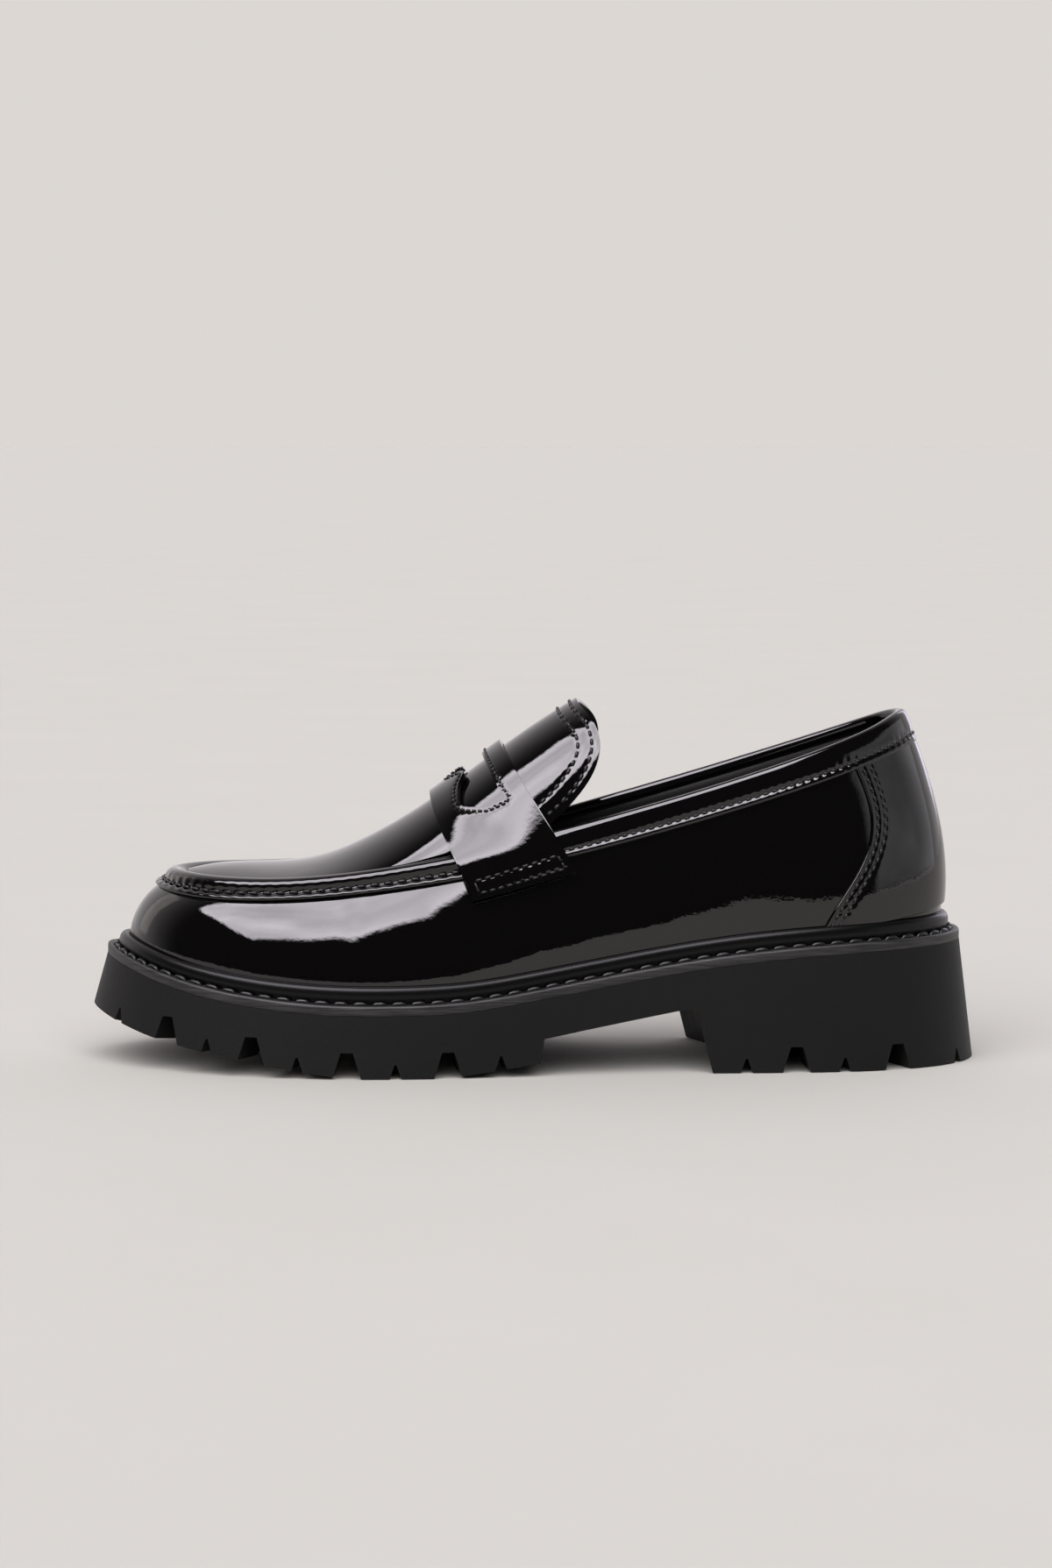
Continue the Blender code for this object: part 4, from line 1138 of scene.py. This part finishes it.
def plain_solid(name, points, faces):
    """A helper solid with its faces turned outwards."""
    mesh = new_mesh(name, points, faces)
    work = bmesh.new()
    work.from_mesh(mesh)
    bmesh.ops.recalc_face_normals(work, faces=work.faces)
    work.to_mesh(mesh)
    work.free()
    return new_object(name, mesh)


def sole_block():
    """The sole's body before anything is cut from it: flared from the welt down to the tread, which is cut level."""
    shares = ring_shares(RING_POINTS)
    flare = SOLE_FLARE_SIDE + SOLE_FLARE_END * np.abs(outline_normal(shares)[:, 0]) ** 2
    foot = stepped(shares, -flare)
    rings = [np.column_stack([foot, tread(foot[:, 0])]), on_welt(shares, 0.0, -MIDSOLE_THICK)]
    count = len(shares)
    faces = [(i, (i + 1) % count, count + (i + 1) % count, count + i) for i in range(count)]
    for base in (0, count):
        for i in range(count // 2):
            across = (i, i + 1, (count - i - 1) % count, (count - i) % count)
            corners = [v for k, v in enumerate(across) if v not in across[:k]]
            faces.append(tuple(base + v for v in (corners if base else reversed(corners))))
    return plain_solid("sole_unit", np.concatenate(rings), faces)


def make_outsole(rubber):
    """The moulded rubber unit: its wall, toe spring, arch and heel, the lugs at its edge and the crosses inside."""
    body = sole_block()
    grooves = []
    for places, size in ((WIDE_GROOVES, WIDE_GROOVE), (NARROW_GROOVES, NARROW_GROOVE)):
        grooves += [groove(x, side, *size) for x in places for side in (-1, 1)]
    tools = []
    for profiles in ([shank_space()], [tread_recess(*ends) for ends in RECESSES], grooves):
        points, faces = [], []
        for profile in profiles:
            prism(points, faces, profile)
        tools.append((plain_solid("cutter", points, faces), "DIFFERENCE"))
    points, faces = [], []
    for x in CROSS_LUGS:
        cross_lug(points, faces, x, (OUTLINE(side_share(x, -1))[1] + OUTLINE(side_share(x, 1))[1]) / 2)
    tools.append((plain_solid("crosses", points, faces), "UNION"))
    for tool, operation in tools:
        step = body.modifiers.new(tool.name, "BOOLEAN")
        step.operation = operation
        step.object = tool
        step.solver = "EXACT"
    soften(body, SOLE_EDGE, SOLE_EDGE_ANGLE)
    even = body.modifiers.new("even_shade", "WEIGHTED_NORMAL")
    even.keep_sharp = True
    body.data.shade_smooth()
    bpy.context.view_layer.update()
    mesh = bpy.data.meshes.new_from_object(body.evaluated_get(bpy.context.evaluated_depsgraph_get()))
    body.modifiers.clear()
    body.data = mesh
    mesh.materials.clear()
    mesh.materials.append(rubber)
    for tool, _ in tools:
        bpy.data.objects.remove(tool)
    body.name = "lugged_outsole"
    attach(body, "root")
    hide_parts("outsole")


def make_midsole(rubber):
    """The welt layer with its softened upper edge and the shallow channel for its stitches."""
    shares = ring_shares(RING_POINTS)
    section = (
        # inset, height from the welt's top
        (0.15, -MIDSOLE_THICK),
        (0.0, -MIDSOLE_THICK + 0.15),
        (0.0, -0.9),
        (0.12, -0.42),
        (0.42, -0.12),
        (0.9, 0.0),
        (1.5, 0.0),
        (1.9, -0.12),
        (2.6, -0.2),
        (3.3, -0.12),
        (3.9, 0.0),
        (8.0, 0.0),
        (10.0, -1.0),
    )
    points = np.stack([on_welt(shares, inset, up) for inset, up in section], axis=1)
    ring_piece("stitched_welt", points, [rubber], "midsole")


def make_rand(rubber):
    """The storm bead that hugs the foot of the upper."""
    shares = ring_shares(RING_POINTS)
    section = (
        # out from the feather edge, up from the welt
        (RAND_OUT + 0.05, 0.0),
        (RAND_OUT + 0.1, 1.0),
        (RAND_OUT + 0.25, 2.2),
        (RAND_OUT + 0.15, 3.3),
        (RAND_OUT - 0.1, 4.2),
        (RAND_OUT - 0.7, 5.05),
        (RAND_OUT - 1.6, 5.45),
        (RAND_OUT - 2.4, 5.3),
        (0.0, 4.6),
        (-1.0, 2.0),
        (-1.0, 0.0),
    )
    normal = outline_normal(shares)
    feather = stepped(shares, WELT_TO_UPPER)
    fine = np.linspace(0, 0.4, 81)
    body = wall(shares, fine)
    foot = welt_top(feather[:, 0])
    rings = []
    for out, up in zip(*smooth_section(section, RAND_SIDES)):
        lean = np.array([np.interp(f + GAP + max(up, 0), b[:, 2], fine) for f, b in zip(foot, body)])
        at_wall = wall(shares, lean[:, None])[:, 0, :2]
        bulge = np.sum((at_wall - feather) * normal, axis=1)
        xy = feather + normal * (out + bulge * RAND_FOLLOWS)[:, None]
        rings.append(np.column_stack([xy, foot + RAND_CLEAR + up]))
    ring_piece("storm_rand", np.stack(rings, axis=1), [rubber], "rand")


def make_strip_stitches(thread):
    """The long stitches of the apron's seam and the fine ones of the collar, along the strip's sewn channel."""
    ring = np.linspace(0.0, 1.0, STRIP_ROW_POINTS)
    x = OUTLINE(ring)[:, 0]
    front = np.append(ring[(x < SEAM_TURNS) & (ring > 0.5)], ring[(x < SEAM_TURNS) & (ring < 0.5)])
    for name, chosen, pitch, radius in (
        ("roll_stitches", front, ROLL_PITCH, ROLL_THREAD),
        ("collar_stitches", ring[x > SEAM_TURNS], FINE_PITCH, FINE_THREAD),
    ):
        path, up = strip_seam(chosen)
        sew(name, path, up, pitch, radius, thread)


def make_welt_stitches(thread):
    """The lock stitches on the welt, half sunk in their channel beside the rand."""
    path = on_welt(np.linspace(0, 1, WELT_ROW_POINTS), *WELT_ROW)
    up = np.broadcast_to([0.0, 0.0, 1.0], path.shape)
    sew("welt_stitches", path, up, WELT_PITCH, WELT_THREAD, thread, WELT_STITCH)


# ---- Finishes


def linear(code):
    """A colour from its sRGB hex value."""
    values = [int(code[i : i + 2], 16) / 255 for i in (1, 3, 5)]
    return tuple(v / 12.92 if v <= 0.04045 else ((v + 0.055) / 1.055) ** 2.4 for v in values) + (1.0,)


def add(tree, kind, inputs=None, links=None, **settings):
    """One node with its settings, its input values and its incoming links."""
    item = tree.nodes.new(kind)
    for name, value in settings.items():
        setattr(item, name, value)
    for name, value in (inputs or {}).items():
        item.inputs[name].default_value = value
    for name, (source, output) in (links or {}).items():
        tree.links.new(source.outputs[output], item.inputs[name])
    return item


def finish(name, shader):
    """A material with an empty node tree but for its output and a Principled shader with these values."""
    made = bpy.data.materials.new(name)
    made.use_nodes = True
    tree = made.node_tree
    tree.nodes.clear()
    body = add(tree, "ShaderNodeBsdfPrincipled", shader)
    add(tree, "ShaderNodeOutputMaterial", links={"Surface": (body, "BSDF")})
    place = add(tree, "ShaderNodeTexCoord")
    return made, tree, body, place


def grained(name, shader, kind, size, height, strength, depth, **settings):
    """A finish with a grain: the pattern's kind, its size in millimetres, the output for its height, its depth."""
    made, tree, body, place = finish(name, shader)
    grain = add(tree, kind, {"Scale": 1 / (size * MM), **settings}, {"Vector": (place, "Object")})
    raised = add(tree, "ShaderNodeBump", {"Strength": strength, "Distance": depth * MM}, {"Height": (grain, height)})
    tree.links.new(raised.outputs["Normal"], body.inputs["Normal"])
    return made, tree, body, place


def patent_leather():
    """Calf leather under a cast film of clear polyurethane: a black mirror with a faint ripple of the hide."""
    shader = {
        "Base Color": linear("#060506"),
        "Roughness": 0.5,
        "IOR": 1.5,
        "Specular IOR Level": 0.0,
        "Coat Weight": 1.0,
        "Coat Roughness": 0.012,
        "Coat IOR": 1.6,
    }
    made, tree, body, place = finish("patent_leather", shader)
    # the hide's slow waves, about 14 mm long, and the film's orange peel, about 1.4 mm
    shape = {}
    for size, detail, depth in ((14, 1.0, 0.15), (1.4, 2.0, 0.013)):
        ripple = add(
            tree, "ShaderNodeTexNoise", {"Scale": 1 / (size * MM), "Detail": detail}, {"Vector": (place, "Object")}
        )
        bump = add(
            tree, "ShaderNodeBump", {"Strength": 1.0, "Distance": depth * MM}, {"Height": (ripple, "Fac"), **shape}
        )
        shape = {"Normal": (bump, "Normal")}
    for socket in ("Coat Normal", "Normal"):
        tree.links.new(bump.outputs["Normal"], body.inputs[socket])
    return made


def lining_leather():
    """Pigskin lining: black, smooth, with open pores about 0.9 mm apart."""
    shader = {"Base Color": linear("#161616"), "Roughness": 0.42, "IOR": 1.48}
    return grained("lining_leather", shader, "ShaderNodeTexVoronoi", 0.9, "Distance", 0.5, 0.05)[0]


def sock_leather():
    """Sock of vegetable tanned sheepskin: black and matt, with shallow grain cells about 1.2 mm across."""
    shader = {"Base Color": linear("#131212"), "Roughness": 0.55, "IOR": 1.46, "Specular IOR Level": 0.4}
    return grained("sock_leather", shader, "ShaderNodeTexVoronoi", 1.2, "Distance", 0.4, 0.04)[0]


def rand_rubber():
    """Extruded PVC bead: satin black with a soft highlight along its shoulder and a skin of 0.8 mm."""
    shader = {"Base Color": linear("#040404"), "Roughness": 0.33, "IOR": 1.45, "Specular IOR Level": 0.3}
    return grained("rand_rubber", shader, "ShaderNodeTexNoise", 0.8, "Fac", 0.35, 0.03, Detail=3.0)[0]


def sewing_thread():
    """Bonded polyester thread: black, faintly waxy, its plies about 0.3 mm apart."""
    shader = {"Base Color": linear("#121212"), "Roughness": 0.38, "IOR": 1.5}
    return grained("sewing_thread", shader, "ShaderNodeTexNoise", 0.3, "Fac", 0.6, 0.06, Detail=1.0)[0]


def tinted(tree, body, dark, light, share):
    """Colours a finish between two tones by the output of a node."""
    tones = {6: linear(dark), 7: linear(light)}
    shade = add(tree, "ShaderNodeMix", tones, {0: share}, data_type="RGBA")
    tree.links.new(shade.outputs[2], body.inputs["Base Color"])


def sole_rubber():
    """Moulded rubber: matt black, with the fine sandblasted grain of the mould."""
    # the real grain is about 0.3 mm; it is drawn at 0.8 mm so that it shows
    shader = {"Roughness": 0.6, "IOR": 1.45, "Specular IOR Level": 0.35}
    made, tree, body, place = grained(
        "sole_rubber", shader, "ShaderNodeTexNoise", 0.8, "Fac", 0.7, 0.12, Detail=3.0
    )
    # faint clouds about 22 mm across, where the mould released unevenly
    cloud = add(tree, "ShaderNodeTexNoise", {"Scale": 1 / (22 * MM), "Detail": 3.0}, {"Vector": (place, "Object")})
    tinted(tree, body, "#060606", "#0b0b0b", (cloud, "Fac"))
    return made


def welt_rubber():
    """Rubber sheet whose edge was ground flush with the sole: paler, with long level scratches of the wheel."""
    made, tree, body, place = finish("welt_rubber", {"Roughness": 0.5, "IOR": 1.5})
    # the wheel's scratches are about 12 mm long and 0.2 mm apart; they are drawn 0.5 mm apart so that they show
    long, apart = 1 / (12 * MM), 1 / (0.5 * MM)
    stretch = add(tree, "ShaderNodeMapping", {"Scale": (long, long, apart)}, {"Vector": (place, "Object")})
    lines = add(tree, "ShaderNodeTexNoise", {"Scale": 1.0, "Detail": 2.0}, {"Vector": (stretch, "Vector")})
    worn = add(tree, "ShaderNodeMapRange", {"From Min": 0.38, "From Max": 0.68}, {"Value": (lines, "Fac")})
    tinted(tree, body, "#131314", "#343334", (worn, "Result"))
    bump = add(tree, "ShaderNodeBump", {"Strength": 0.4, "Distance": 0.05 * MM}, {"Height": (lines, "Fac")})
    tree.links.new(bump.outputs["Normal"], body.inputs["Normal"])
    return made


# ---- Studio


def make_camera():
    """The photograph's camera: level with the ball of the foot, pitched a little down."""
    pitch = np.radians(CAMERA_PITCH)
    back = np.array([0, -np.cos(pitch), np.sin(pitch)]) * CAMERA_DISTANCE
    lens = bpy.data.cameras.new("camera")
    lens.lens = CAMERA_LENS
    lens.sensor_width = SENSOR
    lens.clip_start = 0.01
    camera = new_object("camera", lens)
    camera.location = tuple((np.array(CAMERA_TARGET) + back) * MM)
    camera.rotation_euler = (np.pi / 2 - pitch, 0, 0)
    bpy.context.scene.camera = camera


def soft_box(name, azimuth, elevation, roll, distance, sideways, width, height, radiance, colour):
    """A softbox that faces the shoe. Its angles are from the camera's side, to the right and up."""
    light = bpy.data.lights.new(name, "AREA")
    light.shape = "RECTANGLE"
    light.size, light.size_y = width * MM, height * MM
    light.energy = radiance * np.pi * light.size * light.size_y
    light.color = linear(colour)[:3]
    item = new_object(name, light)
    a, e = np.radians(azimuth), np.radians(elevation)
    away = np.array([np.sin(a) * np.cos(e), -np.cos(a) * np.cos(e), np.sin(e)])
    facing = Euler((np.pi / 2 - e, 0, a)).to_matrix() @ Matrix.Rotation(np.radians(roll), 3, "Z")
    aside = np.array(facing)[:, 0] * sideways
    item.location = tuple((away * distance + aside + [0, 0, BOX_AIM]) * MM)
    item.rotation_euler = facing.to_euler()
    return item


def cloth_front(light, cut):
    """Lets a softbox fade towards its edges and glow unevenly, as its cloth front does. A flag may cut a corner."""
    light.use_nodes = True
    tree = light.node_tree
    tree.nodes.clear()
    place = add(tree, "ShaderNodeNewGeometry")
    split = add(tree, "ShaderNodeSeparateXYZ", links={"Vector": (place, "Parametric")})
    cloth = add(tree, "ShaderNodeTexNoise", {"Scale": 2.3, "Detail": 2.0}, {"Vector": (place, "Parametric")})
    uneven = {"From Min": 0.3, "From Max": 0.7, "To Min": 0.62, "To Max": 1.12}
    glow = add(tree, "ShaderNodeMapRange", uneven, {"Value": (cloth, "Fac")}), "Result"
    masks = []
    for axis in "XY":
        centred = add(tree, "ShaderNodeMath", {1: 0.5}, {0: (split, axis)}, operation="SUBTRACT")
        out = add(tree, "ShaderNodeMath", links={0: (centred, "Value")}, operation="ABSOLUTE")
        masks.append((out, {"From Min": 0.5, "From Max": 0.40}, "SMOOTHSTEP"))
    if cut:
        corner = {0: (split, "X"), 2: (split, "Y")}
        slant = add(tree, "ShaderNodeMath", {1: 1 / cut}, corner, operation="MULTIPLY_ADD")
        masks.append((slant, {"From Min": 0.95, "From Max": 1.05}, "LINEAR"))
    for source, ends, change in masks:
        mask = add(tree, "ShaderNodeMapRange", ends, {"Value": (source, "Value")}, interpolation_type=change)
        glow = add(tree, "ShaderNodeMath", links={0: glow, 1: (mask, "Result")}, operation="MULTIPLY"), "Value"
    shine = add(tree, "ShaderNodeEmission", links={"Strength": glow})
    add(tree, "ShaderNodeOutputLight", links={"Surface": (shine, "Emission")})


def make_floor():
    """A sheet of pale paper under the shoe that runs out of sight."""
    paper, tree, body, place = finish("floor_paper", {"Roughness": 0.95, "Specular IOR Level": 0.1})
    # faint clouds in the paper, about 120 mm across
    cloud = add(tree, "ShaderNodeTexNoise", {"Scale": 1 / (120 * MM), "Detail": 6.0}, {"Vector": (place, "Object")})
    tinted(tree, body, "#ceccc8", "#d3d1ce", (cloud, "Fac"))
    corners = [(x * PAPER_HALF, y * PAPER_HALF, 0) for x, y in ((-1, -1), (1, -1), (1, 1), (-1, 1))]
    floor = new_object("paper", new_mesh("paper", corners, [(0, 1, 2, 3)]))
    floor.data.materials.append(paper)
    floor.location.z = -PAPER_DROP * MM


def make_room():
    """The room: dim on the side of the camera, pale behind the shoe, and plain paper where it is seen itself."""
    world = bpy.data.worlds.new("room")
    world.use_nodes = True
    bpy.context.scene.world = world
    tree = world.node_tree
    tree.nodes.clear()
    place = add(tree, "ShaderNodeTexCoord")
    split = add(tree, "ShaderNodeSeparateXYZ", links={"Vector": (place, "Generated")})
    ends = dict(zip(("From Min", "From Max", "To Min", "To Max"), ROOM_TURN + ROOM_GLOW))
    behind = add(tree, "ShaderNodeMapRange", ends, {"Value": (split, "Y")}, interpolation_type="SMOOTHSTEP")
    glow = add(tree, "ShaderNodeBackground", {"Color": linear("#f4eef1")}, {"Strength": (behind, "Result")})
    seen = add(tree, "ShaderNodeBackground", {"Color": linear("#dcd7d3")})
    ray = add(tree, "ShaderNodeLightPath")
    sides = {0: (ray, "Is Camera Ray"), 1: (glow, "Background"), 2: (seen, "Background")}
    both = add(tree, "ShaderNodeMixShader", links=sides)
    add(tree, "ShaderNodeOutputWorld", links={"Surface": (both, "Shader")})


def make_studio():
    """Even light from above that only matt things see, and softboxes that only glossy ones do."""
    make_floor()
    make_room()
    even = bpy.data.lights.new("overhead", "SUN")
    even.energy = SUN_STRENGTH
    even.angle = np.radians(SUN_SPREAD)
    even.color = linear("#fffdfc")[:3]
    above = new_object("overhead", even)
    above.rotation_euler = np.radians(SUN_TILT)
    above.visible_glossy = False
    for *settings, cut in SOFT_BOXES:
        box = soft_box(*settings)
        box.visible_diffuse = False
        cloth_front(box.data, cut)
    bpy.context.scene.view_settings.view_transform = "Standard"


# ---- The shoe


make_camera()
patent, lining, thread = patent_leather(), lining_leather(), sewing_thread()
make_upper(patent, lining)
make_strip(patent)
make_strip_stitches(thread)
make_apron(patent, lining, thread)
make_strap(patent, thread)
make_counter(patent, thread)
make_midsole(welt_rubber())
make_rand(rand_rubber())
make_welt_stitches(thread)
make_outsole(sole_rubber())
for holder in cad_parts["insole"].material_slots:
    holder.material = sock_leather()
make_studio()
